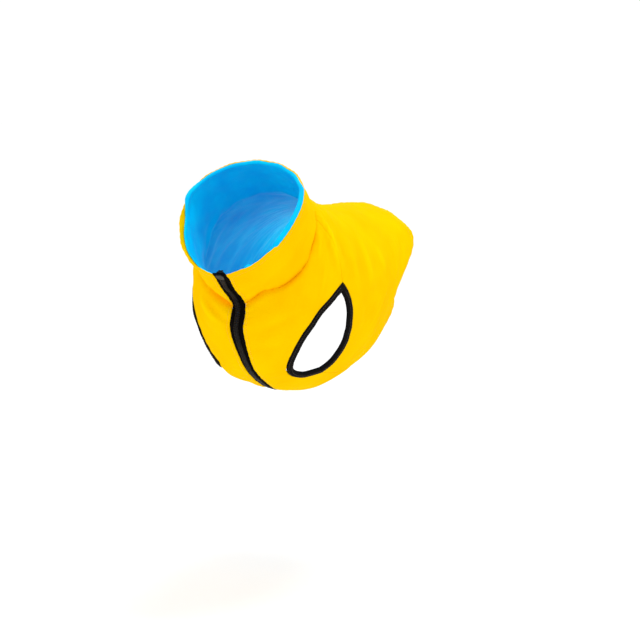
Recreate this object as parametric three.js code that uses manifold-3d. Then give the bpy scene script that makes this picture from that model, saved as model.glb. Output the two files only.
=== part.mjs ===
// Dog jacket: a sleeveless coat for a small dog, with a stand-up collar and a zip along the
// chest and belly, in the hollow shape it has when worn. Millimetres, +Z up, the head end
// towards -Y, the wearer's left towards +X. The origin is on the centre line at the withers,
// against the inside of the back panel, where the wearer holds the jacket up.

import * as THREE from 'three';
import { mergeVertices } from 'three/addons/utils/BufferGeometryUtils.js';
import Module from 'manifold-3d';

// ---- driving dimensions ----

const clothWall = 3;          // padded cloth of the body panels
const collarWall = 2.2;       // outer band of the collar
const liningWall = 1.5;       // inner band of the collar
const seamGap = 0.3;          // what two sewn edges stand apart
const collarGap = 0.45;       // the same at the collar seam, whose two edges have other steps
const rowSpacing = 36;        // mean distance between two sections, along the body
const neckSpacing = 27;       // the distance between two sections at the collar
const degreeSpacing = 1.5;    // mean length of one degree of girth

// Half the opening between the two cloth edges beside the zip: wide at the chest, narrow along
// the belly, and a little drawn in at the top. wander shifts the zip sideways, as bell curves
// of the section given as [section, spread, shift], above 0 towards the wearer's left.
const zipSeam = {
  wideHalf: 7.9, narrowHalf: 5.2, narrowsFrom: 2.8, narrowsTo: 4.6,
  topNarrower: 0.6, topSpread: 0.45,
  wander: [[0.75, 0.32, -1.7], [1.2, 0.4, -2.8], [2.4, 0.35, 0.9], [3, 0.4, -0.9],
    [4.3, 1.2, -1.3], [6.6, 1.1, -9]],
};
const zipChain = { width: 5, proud: 0.3, depth: 2.7 };
const zipTape = { top: 0.8, bottom: 2.4, rows: 56 };
const zipTopSection = 0.37;   // the chain starts below the slider

const binding = { width: 7.4, proud: 1.3, depth: 4.2, mitre: 16 };

const collarSeamSection = 2;
const hemSection = 8;

// How the collar seam and the hem wander as they go round: bell curves of the angle from the
// zip, as [degrees, spread, shift in sections]. The hem is the same on both sides.
const seamWander = [[-3, 12, 0.2], [27, 10, -0.16], [66, 22, 0.2], [-62, 26, 0.22]];
const hemWander = [[82, 11, -0.75], [54, 15, 0.2], [112, 18, 0.24]];

// Sections from the collar's rim to the hem. Each is an egg-shaped ring, level from side to
// side, through a point on the back line and a point on the belly line. halfWidth is its
// greatest half width, reached at the share `widest` of the way from the belly to the back.
const sections = [
  { name: 'rim', backY: -103, backZ: 50, bellyY: -194, bellyZ: -59, halfWidth: 65, widest: 0.62 },
  { name: 'collar', backY: -80, backZ: 36, bellyY: -171, bellyZ: -74, halfWidth: 61, widest: 0.61 },
  { name: 'neck', backY: -57, backZ: 20, bellyY: -153, bellyZ: -91, halfWidth: 62, widest: 0.58 },
  { name: 'shoulder', backY: -31, backZ: 11, bellyY: -152, bellyZ: -118, halfWidth: 74, widest: 0.54 },
  { name: 'chest', backY: 0, backZ: 3, bellyY: -135, bellyZ: -147, halfWidth: 83, widest: 0.51 },
  { name: 'deep', backY: 36, backZ: -2, bellyY: -104, bellyZ: -173, halfWidth: 91, widest: 0.5 },
  { name: 'ribs', backY: 75, backZ: -4, bellyY: -61, bellyZ: -190, halfWidth: 94, widest: 0.53 },
  { name: 'loin', backY: 117, backZ: -6, bellyY: -16, bellyZ: -199, halfWidth: 91, widest: 0.6 },
  { name: 'hem', backY: 161, backZ: -7, bellyY: 23, bellyZ: -198, halfWidth: 86, widest: 0.69 },
];

// Cutting lines as [section, degrees round from the zip line]. On the wearer's right, where
// the jacket sits a little further round, the same lines run a little further from the zip.
const shoulderSeam = [[2, 112], [2.7, 104], [3.3, 96], [3.9, 86]];
const leftLines = {
  armholeFront: [[3.9, 86], [3.72, 75], [3.66, 60], [3.89, 43.5], [4.25, 32], [4.64, 24],
    [5, 21], [5.4, 24], [5.72, 34]],
  armholeRear: [[3.9, 86], [4.27, 84], [4.65, 79], [5.05, 69], [5.45, 57], [5.7, 45],
    [5.72, 34]],
  sideSeam: [[5.72, 34], [6.8, 37], [8, 41]],
};
const rightLines = {
  armholeFront: [[3.9, 86], [3.72, 75], [3.68, 60], [3.94, 46], [4.32, 37], [4.75, 32],
    [5.1, 30.5], [5.45, 31.5], [5.72, 36]],
  armholeRear: [[3.9, 86], [4.27, 84], [4.65, 79], [5.05, 69], [5.45, 57], [5.7, 46],
    [5.72, 36]],
  sideSeam: [[5.72, 36], [6.8, 37.5], [8, 41]],
};

// The largest folds: soft troughs (height below 0) and ridges along a straight line on the
// cloth, from (section, degrees) to (section, degrees). spread is the half width.
const folds = [
  { name: 'collar crease, left', from: [2.08, 8], to: [1.9, 34], spread: 6, height: -3.2 },
  { name: 'collar crease, left side', from: [2.05, 40], to: [2.18, 84], spread: 5.5, height: -2.6 },
  { name: 'collar crease, right', from: [2.18, -6], to: [2.06, -34], spread: 7, height: -4.2 },
  { name: 'collar crease, right side', from: [2.12, -38], to: [2.2, -78], spread: 6, height: -2.6 },
  { name: 'chest trough, left', from: [3.15, 10], to: [3.24, 44], spread: 7, height: -1.6 },
  { name: 'chest ridge, right', from: [2.66, -38], to: [2.85, -18], spread: 7, height: 2.2 },
  { name: 'shoulder trough, left', from: [2.3, 104], to: [3, 91], spread: 7, height: -2.2 },
  { name: 'shoulder ridge, left', from: [2.65, 112], to: [3.35, 93], spread: 8, height: 2 },
  { name: 'shoulder trough, right', from: [2.35, -108], to: [3.1, -95], spread: 8, height: -1.9 },
  { name: 'flank ridge, left', from: [4.6, 126], to: [5.1, 104], spread: 10, height: 1.6 },
  { name: 'flank trough, left', from: [3.7, 108], to: [4.4, 92], spread: 9, height: -1.5 },
  { name: 'flank ridge, right', from: [4.9, -122], to: [5.3, -98], spread: 11, height: 1.7 },
  { name: 'hem swell, left', from: [7, 58], to: [8.2, 46], spread: 16, height: 2.4 },
  { name: 'hem swell, right', from: [7, -58], to: [8.2, -46], spread: 16, height: 2 },
  { name: 'armhole swell, right', from: [4.9, -30], to: [5.8, -20], spread: 13, height: 2.4 },
  { name: 'hollow of the back', from: [5, -171], to: [7.6, -166], spread: 28, height: -3.2 },
];

// ---- the form of the worn cloth ----

const radians = Math.PI / 180;
const sectionFields = ['backY', 'backZ', 'bellyY', 'bellyZ', 'halfWidth', 'widest'];

// Smooth values between two rows of the table: a cubic whose slope at a row follows the rows
// on either side of it.
function sectionAt(s) {
  const last = sections.length - 1;
  const i = Math.min(Math.max(Math.floor(s), 0), last - 1);
  const f = s - i;
  const values = {};
  for (const field of sectionFields) {
    const b = sections[i][field];
    const c = sections[i + 1][field];
    const a = i > 0 ? sections[i - 1][field] : 2 * b - c;
    const d = i < last - 1 ? sections[i + 2][field] : 2 * c - b;
    const slopeB = (c - a) / 2;
    const slopeC = (d - b) / 2;
    values[field] = (2 * f ** 3 - 3 * f ** 2 + 1) * b + (f ** 3 - 2 * f ** 2 + f) * slopeB
      + (3 * f ** 2 - 2 * f ** 3) * c + (f ** 3 - f ** 2) * slopeC;
  }
  return values;
}

// A point of the smooth outer form, with no folds.
function formPoint(s, degrees) {
  const ring = sectionAt(s);
  const lift = -Math.cos(degrees * radians);
  const share = ring.widest + lift * (lift > 0 ? 1 - ring.widest : ring.widest);
  return new THREE.Vector3(
    ring.halfWidth * Math.sin(degrees * radians),
    ring.bellyY + share * (ring.backY - ring.bellyY),
    ring.bellyZ + share * (ring.backZ - ring.bellyZ),
  );
}

function formNormal(s, degrees) {
  const along = formPoint(s + 0.02, degrees).sub(formPoint(s - 0.02, degrees));
  const round = formPoint(s, degrees + 0.5).sub(formPoint(s, degrees - 0.5));
  return along.cross(round).normalize();
}

// Signed degrees from the zip line, so that left and right folds can differ.
function signedDegrees(degrees) {
  return degrees > 180 ? degrees - 360 : degrees;
}

// The sum of bell curves, each given as [middle, spread, height].
function bellSum(value, table) {
  return table.reduce((sum, [middle, spread, height]) =>
    sum + height * Math.exp(-(((value - middle) / spread) ** 2)), 0);
}

// How far the folds lift or sink the cloth: each falls off smoothly with the distance from
// its line, measured on the cloth laid out flat.
function foldHeight(s, degrees) {
  const point = new THREE.Vector2(s * rowSpacing, signedDegrees(degrees) * degreeSpacing);
  let height = 0;
  for (const fold of folds) {
    const start = new THREE.Vector2(fold.from[0] * rowSpacing, fold.from[1] * degreeSpacing);
    const line = new THREE.Vector2(fold.to[0] * rowSpacing, fold.to[1] * degreeSpacing).sub(start);
    const reach = point.clone().sub(start);
    const girth = 360 * degreeSpacing;
    reach.y -= girth * Math.round(reach.y / girth); // the cloth goes all round
    const share = Math.min(Math.max(reach.dot(line) / line.lengthSq(), 0), 1);
    const distance = reach.addScaledVector(line, -share).length();
    height += fold.height * Math.exp(-((distance / fold.spread) ** 2));
  }
  return height;
}

// A point of the cloth, `depth` below its outer face.
function clothPoint([s, degrees], depth) {
  const normal = formNormal(s, degrees);
  return formPoint(s, degrees).addScaledVector(normal, foldHeight(s, degrees) - depth);
}

// The angle at which the cloth is `x` mm from the zip's centre line.
function degreesAtWidth(s, x) {
  return Math.asin(x / sectionAt(s).halfWidth) / radians;
}

// The section at which the collar is sewn on, and the one at which the hem ends.
function seamAt(degrees) {
  return collarSeamSection + bellSum(signedDegrees(degrees), seamWander);
}

function hemAt(degrees) {
  return hemSection + bellSum(Math.abs(signedDegrees(degrees)), hemWander);
}

// The angle of a place `x` mm from the zip's middle line, towards the left if side is 1 or the
// right if it is -1. It is counted on that side.
function zipDegrees(s, x, side) {
  return degreesAtWidth(s, x + side * bellSum(s, zipSeam.wander));
}

// Half the width between the two cloth edges beside the zip.
function zipHalf(s) {
  const share = THREE.MathUtils.smoothstep(s, zipSeam.narrowsFrom, zipSeam.narrowsTo);
  return zipSeam.wideHalf - share * (zipSeam.wideHalf - zipSeam.narrowHalf)
    - zipSeam.topNarrower * Math.exp(-((s / zipSeam.topSpread) ** 2));
}

// The angle of the cloth edge beside the zip, for a row near the section `level` that lies at
// rowAt(degrees).
function zipEdge(level, side, rowAt) {
  const guess = zipDegrees(level, zipHalf(level), side);
  const s = rowAt(side > 0 ? guess : 360 - guess);
  return zipDegrees(s, zipHalf(s), side);
}

// ---- closed solids from grids of points ----

function meshFrom(name, positions, indices, material) {
  const geometry = new THREE.BufferGeometry();
  geometry.setAttribute('position', new THREE.Float32BufferAttribute(positions, 3));
  geometry.setIndex(indices);
  geometry.computeVertexNormals();
  const mesh = new THREE.Mesh(geometry, material);
  mesh.name = name;
  return mesh;
}

// A wall of cloth over a grid of [section, degrees] places: an outer face, an inner face and
// the cut edge all round. Rows run towards the hem and columns run round to the left.
function clothWallMesh(name, grid, outerDepth, innerDepth, material) {
  const rows = grid.length;
  const columns = grid[0].length;
  const positions = [];
  for (const depth of [outerDepth, innerDepth]) {
    for (const row of grid) {
      for (const place of row) {
        positions.push(...clothPoint(place, depth).toArray());
      }
    }
  }
  const indices = [];
  const quad = (a, b, c, d) => indices.push(a, c, b, a, d, c);
  const outer = (i, j) => i * columns + j;
  const inner = (i, j) => (rows + i) * columns + j;
  for (let i = 0; i < rows - 1; i++) {
    for (let j = 0; j < columns - 1; j++) {
      quad(outer(i, j), outer(i, j + 1), outer(i + 1, j + 1), outer(i + 1, j));
      quad(inner(i, j), inner(i + 1, j), inner(i + 1, j + 1), inner(i, j + 1));
    }
  }
  for (let j = 0; j < columns - 1; j++) {
    quad(outer(0, j + 1), outer(0, j), inner(0, j), inner(0, j + 1));
    quad(outer(rows - 1, j), outer(rows - 1, j + 1), inner(rows - 1, j + 1), inner(rows - 1, j));
  }
  for (let i = 0; i < rows - 1; i++) {
    quad(outer(i, 0), outer(i + 1, 0), inner(i + 1, 0), inner(i, 0));
    quad(outer(i + 1, columns - 1), outer(i, columns - 1), inner(i, columns - 1),
      inner(i + 1, columns - 1));
  }
  return meshFrom(name, positions, indices, material);
}

// A row whose degrees are counted on the wearer's right, as places of the whole ring.
function onRight(row) {
  return row.map(([s, degrees]) => [s, 360 - degrees]).reverse();
}

function mix(a, b, share) {
  return a + (b - a) * share;
}

// ---- cutting lines as evenly spaced stations ----

// A smooth line through the table's places, cut into `count` equal lengths of cloth.
function stations(table, count) {
  const flat = table.map(([s, degrees]) => new THREE.Vector2(s * rowSpacing, degrees * degreeSpacing));
  const points = new THREE.SplineCurve(flat).getSpacedPoints(count);
  return points.map((point) => [point.x / rowSpacing, point.y / degreeSpacing]);
}

const shoulderSteps = 8;
const armholeSteps = 13;
const sideSteps = 9;

// One side's lines, and the outer edge of its front panel and of the back panel, station by
// station.
function sideLines(lines) {
  const shoulder = stations(shoulderSeam, shoulderSteps);
  const front = stations(lines.armholeFront, armholeSteps);
  const rear = stations(lines.armholeRear, armholeSteps);
  const seam = stations(lines.sideSeam, sideSteps);
  return {
    front,
    rear,
    frontEdge: [...shoulder, ...front.slice(1), ...seam.slice(1)],
    backEdge: [...shoulder, ...rear.slice(1), ...seam.slice(1)],
  };
}

const left = sideLines(leftLines);
const right = sideLines(rightLines);

// The section that each station's row meets on the zip line or the back line. The row of the
// armhole's top meets it at apexSection.
function centreSection(station, apexSection) {
  const knots = [
    { station: 0, section: collarSeamSection },
    { station: shoulderSteps, section: apexSection },
    { station: shoulderSteps + armholeSteps, section: 6 },
    { station: shoulderSteps + armholeSteps + sideSteps, section: hemSection },
  ];
  const k = knots.findLastIndex((knot) => knot.station <= station);
  const low = knots[Math.min(k, knots.length - 2)];
  const high = knots[Math.min(k, knots.length - 2) + 1];
  return mix(low.section, high.section, (station - low.station) / (high.station - low.station));
}

// Moves a panel's first rows to the collar seam, and its last rows to the hem's curve.
function trimmed([s, degrees]) {
  const start = collarSeamSection + collarGap / 2 / neckSpacing;
  const shifted = Math.min(Math.max(collarSeamSection + 1 - s, 0), 1);
  const drawn = Math.max((s - 6) / (hemSection - 6), 0);
  return [Math.max(s, start) + shifted * (seamAt(degrees) - collarSeamSection)
    + drawn * (hemAt(degrees) - hemSection), degrees];
}

// ---- body panels ----

const frontColumns = 14;
const backColumns = 30;

// Half a seam's gap in degrees, at the rather oblique angle in which the seams cross a ring.
function halfGapDegrees(s) {
  const obliquity = 0.8;
  return seamGap / 2 / obliquity / (sectionAt(s).halfWidth * radians);
}

// Rows leave the zip level and turn towards the edge, so that none runs along the armhole.
function frontGrid(lines, side) {
  return lines.frontEdge.map(([edgeSection, edgeDegrees], station) => {
    const zipSection = centreSection(station, 3);
    const start = zipEdge(zipSection, side, (degrees) => trimmed([zipSection, degrees])[0]);
    const row = [];
    for (let j = 0; j <= frontColumns; j++) {
      const share = j / frontColumns;
      const degrees = mix(start, edgeDegrees - halfGapDegrees(edgeSection), share);
      row.push([mix(zipSection, edgeSection, share ** 1.8), degrees]);
    }
    return (side > 0 ? row : onRight(row)).map(trimmed);
  });
}

// Rows start and end on the two edges and bow towards even spacing over the back.
function backGrid() {
  return left.backEdge.map(([leftSection, leftDegrees], station) => {
    const [rightSection, rightDegrees] = right.backEdge[station];
    const start = leftDegrees + halfGapDegrees(leftSection);
    const end = 360 - rightDegrees - halfGapDegrees(rightSection);
    const row = [];
    for (let j = 0; j <= backColumns; j++) {
      const share = j / backColumns;
      const bow = 1 - (2 * share - 1) ** 2;
      const edgeSection = mix(leftSection, rightSection, share);
      row.push([mix(edgeSection, centreSection(station, 3.5), bow), mix(start, end, share)]);
    }
    return row.map(trimmed);
  });
}

// ---- collar ----

const collarRows = 9;
const collarColumns = 60;

// From its top down to `above` sections over the seam.
function collarGrid(topSection, above) {
  const grid = [];
  for (let i = 0; i <= collarRows; i++) {
    const share = i / collarRows;
    const level = mix(topSection, collarSeamSection, share);
    const rowAt = (degrees) => mix(topSection, seamAt(degrees) - above, share);
    const start = zipEdge(level, 1, rowAt);
    const end = 360 - zipEdge(level, -1, rowAt);
    const row = [];
    for (let j = 0; j <= collarColumns; j++) {
      const degrees = mix(start, end, j / collarColumns);
      row.push([rowAt(degrees), degrees]);
    }
    grid.push(row);
  }
  return grid;
}

// ---- strips beside the zip's middle line ----

// From fromX(s) to toX(s) mm beside the middle line, towards one side.
function zipGrid(fromX, toX, topSection, columns, side) {
  const grid = [];
  for (let i = 0; i <= zipTape.rows; i++) {
    const s = mix(topSection, hemAt(0), i / zipTape.rows);
    const row = [];
    for (let j = 0; j <= columns; j++) {
      row.push([s, zipDegrees(s, mix(fromX(s), toX(s), j / columns), side)]);
    }
    grid.push(side > 0 ? row : onRight(row));
  }
  return grid;
}

// ---- armhole bindings ----

// The binding is an elastic band just inside the armhole's cut edge. Its section is a flat
// oval that stands a little proud of the cloth on both sides. At the armhole's pointed top
// the two ends of the band meet in a mitre.
function bindingMesh(name, lines, side, material) {
  const loop = [...lines.front.slice(0, -1), ...[...lines.rear].reverse().slice(0, -1)];
  const count = loop.length;
  const places = loop.map(([s, degrees]) => [s, side * degrees]);
  const edge = places.map((place) => clothPoint(place, 0));
  const normals = places.map(([s, degrees]) => formNormal(s, degrees));
  const centre = edge.reduce((sum, point) => sum.add(point), new THREE.Vector3());
  centre.divideScalar(count);

  const inward = edge.map((point, k) => {
    const along = edge[(k + 1) % count].clone().sub(edge[(k + count - 1) % count]);
    const across = along.cross(normals[k]).normalize();
    if (across.dot(centre.clone().sub(point)) < 0) across.negate();
    return across.multiplyScalar(binding.width);
  });

  // The mitre: at the point the width runs along the bisector, and the stations near it fan
  // out from there.
  const toFront = edge[1].clone().sub(edge[0]).normalize();
  const toRear = edge[count - 1].clone().sub(edge[0]).normalize();
  const halfAngle = toFront.angleTo(toRear) / 2;
  inward[0] = toFront.clone().add(toRear).setLength(binding.width / Math.sin(halfAngle));
  for (const step of [1, -1]) {
    const index = (k) => (k * step + count) % count;
    const near = [];
    let k = 1;
    while (edge[index(k)].distanceTo(edge[0]) < binding.mitre) near.push(k++);
    const innerTop = edge[0].clone().add(inward[0]);
    const innerFar = edge[index(k)].clone().add(inward[index(k)]);
    const reach = edge[index(k)].distanceTo(edge[0]);
    for (const n of near) {
      const share = edge[index(n)].distanceTo(edge[0]) / reach;
      inward[index(n)] = innerTop.clone().lerp(innerFar, share).sub(edge[index(n)]);
    }
  }

  // Section points as [share of the width, height over the cloth's outer face].
  const gap = seamGap / binding.width;
  const section = [
    [gap, 0.2], [0.2, binding.proud], [0.75, binding.proud], [1, 0],
    [1, -clothWall], [0.75, -binding.depth], [0.2, -binding.depth], [gap, -clothWall - 0.2],
  ];
  const sides = section.length;
  const positions = [];
  for (let i = 0; i < count; i++) {
    for (const [share, height] of section) {
      const point = edge[i].clone().addScaledVector(inward[i], share);
      positions.push(...point.addScaledVector(normals[i], height).toArray());
    }
  }
  const indices = [];
  for (let i = 0; i < count; i++) {
    const next = (i + 1) % count;
    for (let j = 0; j < sides; j++) {
      const a = i * sides + j;
      const b = i * sides + ((j + 1) % sides);
      const c = next * sides + ((j + 1) % sides);
      const d = next * sides + j;
      if (side > 0) indices.push(a, c, b, a, d, c);
      else indices.push(a, b, c, a, c, d);
    }
  }
  return meshFrom(name, positions, indices, material);
}

// ---- slider and pull tab ----

// Both are drawn in the slider's own axes: x across the zip, y down along it, z inwards. Its
// origin is at the top of the zip, in the middle of the tapes' thickness.
const slider = {
  top: 0.6, length: 8.6, plateWidth: 8.4, stemWidth: 4.6, plateFrom: 1.2, plateTo: 2.4,
};
const ears = { y: 3, z: 3.9, radius: 1.1, inner: 1.2, outer: 2.1 };
const pullTab = { width: 5, knuckleWidth: 1.8, length: 21, thickness: 1.2, holeWidth: 2.4 };

function extruded(points, depth, from) {
  const geometry = new THREE.ExtrudeGeometry(new THREE.Shape(points), {
    depth, steps: 1, bevelEnabled: false,
  });
  return geometry.translate(0, 0, from);
}

// An outline symmetric about x = 0, from the [half width, y] pairs of its right half.
function symmetricOutline(pairs) {
  const right = pairs.map(([x, y]) => new THREE.Vector2(x, y));
  const left = pairs.map(([x, y]) => new THREE.Vector2(-x, y)).reverse();
  return [...right, ...left];
}

async function union(geometries) {
  const wasm = await Module();
  wasm.setup();
  const bodies = geometries.map((geometry) => {
    geometry.deleteAttribute('normal');
    geometry.deleteAttribute('uv');
    const merged = mergeVertices(geometry);
    return new wasm.Manifold(new wasm.Mesh({
      numProp: 3,
      vertProperties: new Float32Array(merged.attributes.position.array),
      triVerts: new Uint32Array(merged.index.array),
    }));
  });
  const joined = bodies.reduce((sum, body) => sum.add(body)).getMesh();
  return { positions: Array.from(joined.vertProperties), indices: Array.from(joined.triVerts) };
}

function circlePoints(radius, steps, centreX = 0, centreY = 0) {
  const points = [];
  for (let i = 0; i < steps; i++) {
    const angle = (2 * Math.PI * i) / steps;
    points.push(new THREE.Vector2(centreX + radius * Math.cos(angle), centreY + radius * Math.sin(angle)));
  }
  return points;
}

// Two plates joined by a stem between the tapes, and two ears on the inner plate.
async function sliderMesh(material) {
  const half = slider.plateWidth / 2;
  const end = slider.top + slider.length;
  const plate = symmetricOutline([
    [half * 0.55, slider.top], [half * 0.95, slider.top + 1.6], [half, slider.top + 3.6],
    [half * 0.8, end - 0.8], [half * 0.62, end],
  ]);
  const stem = symmetricOutline([
    [slider.stemWidth * 0.3, slider.top + 0.4], [slider.stemWidth / 2, slider.top + 2.2],
    [slider.stemWidth * 0.3, end - 1.2],
  ]);
  const thickness = slider.plateTo - slider.plateFrom;
  const outline = circlePoints(ears.radius, 12, 0, 0);
  const foot = ears.z - slider.plateTo + 0.4;
  const pieces = [
    extruded(plate, thickness, slider.plateFrom),
    extruded(plate, thickness, -slider.plateTo),
    extruded(stem, 2 * slider.plateTo - 0.4, -slider.plateTo + 0.2),
  ];
  for (const side of [1, -1]) {
    const middle = (side * (ears.inner + ears.outer)) / 2;
    const post = new THREE.BoxGeometry(ears.outer - ears.inner, 2 * ears.radius, foot);
    post.translate(middle, ears.y, ears.z - foot / 2);
    const round = extruded(outline, ears.outer - ears.inner, -(ears.outer - ears.inner) / 2);
    round.rotateY(Math.PI / 2).translate(middle, ears.y, ears.z);
    pieces.push(post, round);
  }
  const { positions, indices } = await union(pieces);
  return meshFrom('zip_slider', positions, indices, material);
}

// A flat tab with a slot near its end and a narrow knuckle between the slider's ears.
async function pullTabMesh(material) {
  const start = ears.y + ears.radius + 0.9;
  const end = ears.y + pullTab.length;
  const half = pullTab.width / 2;
  const outline = new THREE.Shape([
    ...symmetricOutline([
      [pullTab.knuckleWidth / 2, ears.y], [pullTab.knuckleWidth / 2, start],
      [half * 0.8, start + 1.4], [half, end - 3], [half * 0.85, end - 0.9], [half * 0.5, end],
    ]),
  ]);
  const slot = pullTab.holeWidth / 2;
  outline.holes.push(new THREE.Path(symmetricOutline([
    [slot * 0.5, end - 8], [slot, end - 7], [slot, end - 3.4], [slot * 0.5, end - 2.4],
  ])));
  const blade = new THREE.ExtrudeGeometry(outline, {
    depth: pullTab.thickness, steps: 1, bevelEnabled: false,
  });
  blade.translate(0, 0, ears.z - pullTab.thickness / 2);
  const knuckle = extruded(circlePoints(0.9, 12), pullTab.knuckleWidth, -pullTab.knuckleWidth / 2);
  knuckle.rotateY(Math.PI / 2).translate(0, ears.y, ears.z);
  const { positions, indices } = await union([blade, knuckle]);
  return meshFrom('zip_pull_tab', positions, indices, material);
}

// ---- the jacket ----

const yellowNylon = new THREE.MeshStandardMaterial({ color: 0xfad50a, roughness: 0.62, metalness: 0 });
const blueLining = new THREE.MeshStandardMaterial({ color: 0x14b4f0, roughness: 0.6, metalness: 0 });
const blackTape = new THREE.MeshStandardMaterial({ color: 0x1d1815, roughness: 0.8, metalness: 0 });
const blackElastic = new THREE.MeshStandardMaterial({ color: 0x181514, roughness: 0.85, metalness: 0 });
const blackCoil = new THREE.MeshStandardMaterial({ color: 0x2a2624, roughness: 0.45, metalness: 0 });
const blackEnamel = new THREE.MeshStandardMaterial({ color: 0x1c1a1a, roughness: 0.35, metalness: 0.6 });

const group = new THREE.Group();
group.add(
  clothWallMesh('back_panel', backGrid(), 0, clothWall, yellowNylon),
  clothWallMesh('front_panel_left', frontGrid(left, 1), 0, clothWall, yellowNylon),
  clothWallMesh('front_panel_right', frontGrid(right, -1), 0, clothWall, yellowNylon),
);

const overSeam = collarGap / 2 / neckSpacing;
const liningTop = collarWall + seamGap;
group.add(
  clothWallMesh('collar_shell', collarGrid(0, overSeam), 0, collarWall, yellowNylon),
  clothWallMesh('collar_lining', collarGrid(0.04, overSeam + 0.02), liningTop,
    liningTop + liningWall, blueLining),
);

const tapeFrom = () => zipChain.width / 2 + seamGap;
const tapeTo = (s) => zipHalf(s) - seamGap - 0.15;
const chainGrid = zipGrid(() => -zipChain.width / 2, () => zipChain.width / 2, zipTopSection, 2, 1);
group.add(
  clothWallMesh('zip_tape_left', zipGrid(tapeFrom, tapeTo, 0, 1, 1), zipTape.top,
    zipTape.bottom, blackTape),
  clothWallMesh('zip_tape_right', zipGrid(tapeFrom, tapeTo, 0, 1, -1), zipTape.top,
    zipTape.bottom, blackTape),
  clothWallMesh('zip_chain', chainGrid, -zipChain.proud, zipChain.depth, blackCoil),
);

group.add(
  bindingMesh('armhole_binding_left', left, 1, blackElastic),
  bindingMesh('armhole_binding_right', right, -1, blackElastic),
);

// The slider's axes follow the zip where it leaves the rim.
const zipHead = new THREE.Group();
const zipTop = clothPoint([0, 0], (zipTape.top + zipTape.bottom) / 2);
const zipBelow = clothPoint([zipTopSection, 0], (zipTape.top + zipTape.bottom) / 2);
zipHead.position.copy(zipTop);
zipHead.rotation.x = Math.atan2(zipBelow.z - zipTop.z, zipBelow.y - zipTop.y);
zipHead.add(await sliderMesh(blackEnamel), await pullTabMesh(blackEnamel));
group.add(zipHead);

export default group;
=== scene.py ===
# Dog jacket: a sleeveless padded nylon coat with a stand-up collar, a zip down the front and
# bound armholes, in the hollow shape it has when worn. Lengths are in millimetres until
# toMetres; +Z is up, the collar points to -Y and the wearer's left is +X.
import math
import bpy
import numpy as np
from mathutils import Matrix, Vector


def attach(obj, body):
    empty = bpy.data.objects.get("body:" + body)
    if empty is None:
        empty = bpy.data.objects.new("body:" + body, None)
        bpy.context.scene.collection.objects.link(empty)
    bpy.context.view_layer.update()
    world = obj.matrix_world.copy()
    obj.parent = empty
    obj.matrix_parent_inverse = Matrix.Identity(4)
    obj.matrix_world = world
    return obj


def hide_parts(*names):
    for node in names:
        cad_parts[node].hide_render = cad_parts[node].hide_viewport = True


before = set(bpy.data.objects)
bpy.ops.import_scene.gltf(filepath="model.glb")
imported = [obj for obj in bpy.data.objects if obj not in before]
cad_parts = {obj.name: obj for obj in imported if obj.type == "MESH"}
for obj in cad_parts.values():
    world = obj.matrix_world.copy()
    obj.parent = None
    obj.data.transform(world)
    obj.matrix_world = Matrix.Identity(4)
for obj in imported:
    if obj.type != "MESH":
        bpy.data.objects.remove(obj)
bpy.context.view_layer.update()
toMetres = 0.001


form = {
    # from the collar's rim to the hem: backY, backZ, bellyY, bellyZ, halfWidth, widest
    "sections": [
        [-103, 50, -194, -59, 65, 0.62],  # rim
        [-80, 36, -171, -74, 61, 0.61],  # collar
        [-57, 20, -153, -91, 62, 0.58],  # neck, where the collar is sewn on
        [-31, 11, -152, -118, 74, 0.54],  # shoulder
        [0, 3, -135, -147, 83, 0.51],  # chest
        [36, -2, -104, -173, 91, 0.50],  # deep
        [75, -4, -61, -190, 94, 0.53],  # ribs
        [117, -6, -16, -199, 91, 0.60],  # loin
        [161, -7, 23, -198, 86, 0.69],  # hem
    ],
    "rowSpacing": 36,  # mean distance between two sections
    "degreeSpacing": 1.5,  # mean length of one degree of girth
    "collarSeam": 2,
    "seamWander": [(-3, 12, 0.2), (27, 10, -0.16), (66, 22, 0.2), (-62, 26, 0.22)],
    "deepFold": 5.5, "sharpSpread": 8,  # mm: the depth and the width of a marked fold
    "sharpAngle": 55,  # degrees between two faces, from which their edge is drawn sharp
    "hem": 8,
    "hemWander": [(82, 11, -0.75), (54, 15, 0.2), (112, 18, 0.24)],
}
sections = np.array(form["sections"], float)


def cubic(f, b, c, slopeB, slopeC):
    # the cubic from b to c with these slopes at its ends, at the share f of the way
    return ((2 * f**3 - 3 * f**2 + 1) * b + (f**3 - 2 * f**2 + f) * slopeB
            + (3 * f**2 - 2 * f**3) * c + (f**3 - f**2) * slopeC)


def sectionAt(s):
    # each column is a cubic between two rows, whose slope at a row is half the step between
    # that row's neighbours
    s = np.asarray(s, float)
    last = len(sections) - 1
    i = np.clip(np.floor(s).astype(int), 0, last - 1)
    f = (s - i)[..., None]
    b, c = sections[i], sections[i + 1]
    a = np.where((i > 0)[..., None], sections[np.maximum(i - 1, 0)], 2 * b - c)
    d = np.where((i < last - 1)[..., None], sections[np.minimum(i + 2, last)], 2 * c - b)
    return cubic(f, b, c, (c - a) / 2, (d - b) / 2)


def formPoint(s, degrees):
    # a ring: half width times the sine of the angle across, and minus its cosine, stretched
    # to either side of the widest place, from the belly point to the back point
    ring = sectionAt(s)
    angle = np.radians(degrees)
    lift = -np.cos(angle)
    widest = ring[..., 5]
    share = widest + lift * np.where(lift > 0, 1 - widest, widest)
    x = ring[..., 4] * np.sin(angle)
    y = ring[..., 2] + share * (ring[..., 0] - ring[..., 2])
    z = ring[..., 3] + share * (ring[..., 1] - ring[..., 3])
    return np.stack([x, y, z], axis=-1)


def unit(v):
    # the direction of v: the vector over its own length
    return v / np.maximum(np.linalg.norm(v, axis=-1, keepdims=True), 1e-12)


def squareTo(along, out):
    # the direction nearest to `out` that is square to `along`: out less its share along it
    return unit(out - along * np.sum(out * along, axis=-1, keepdims=True))


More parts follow.
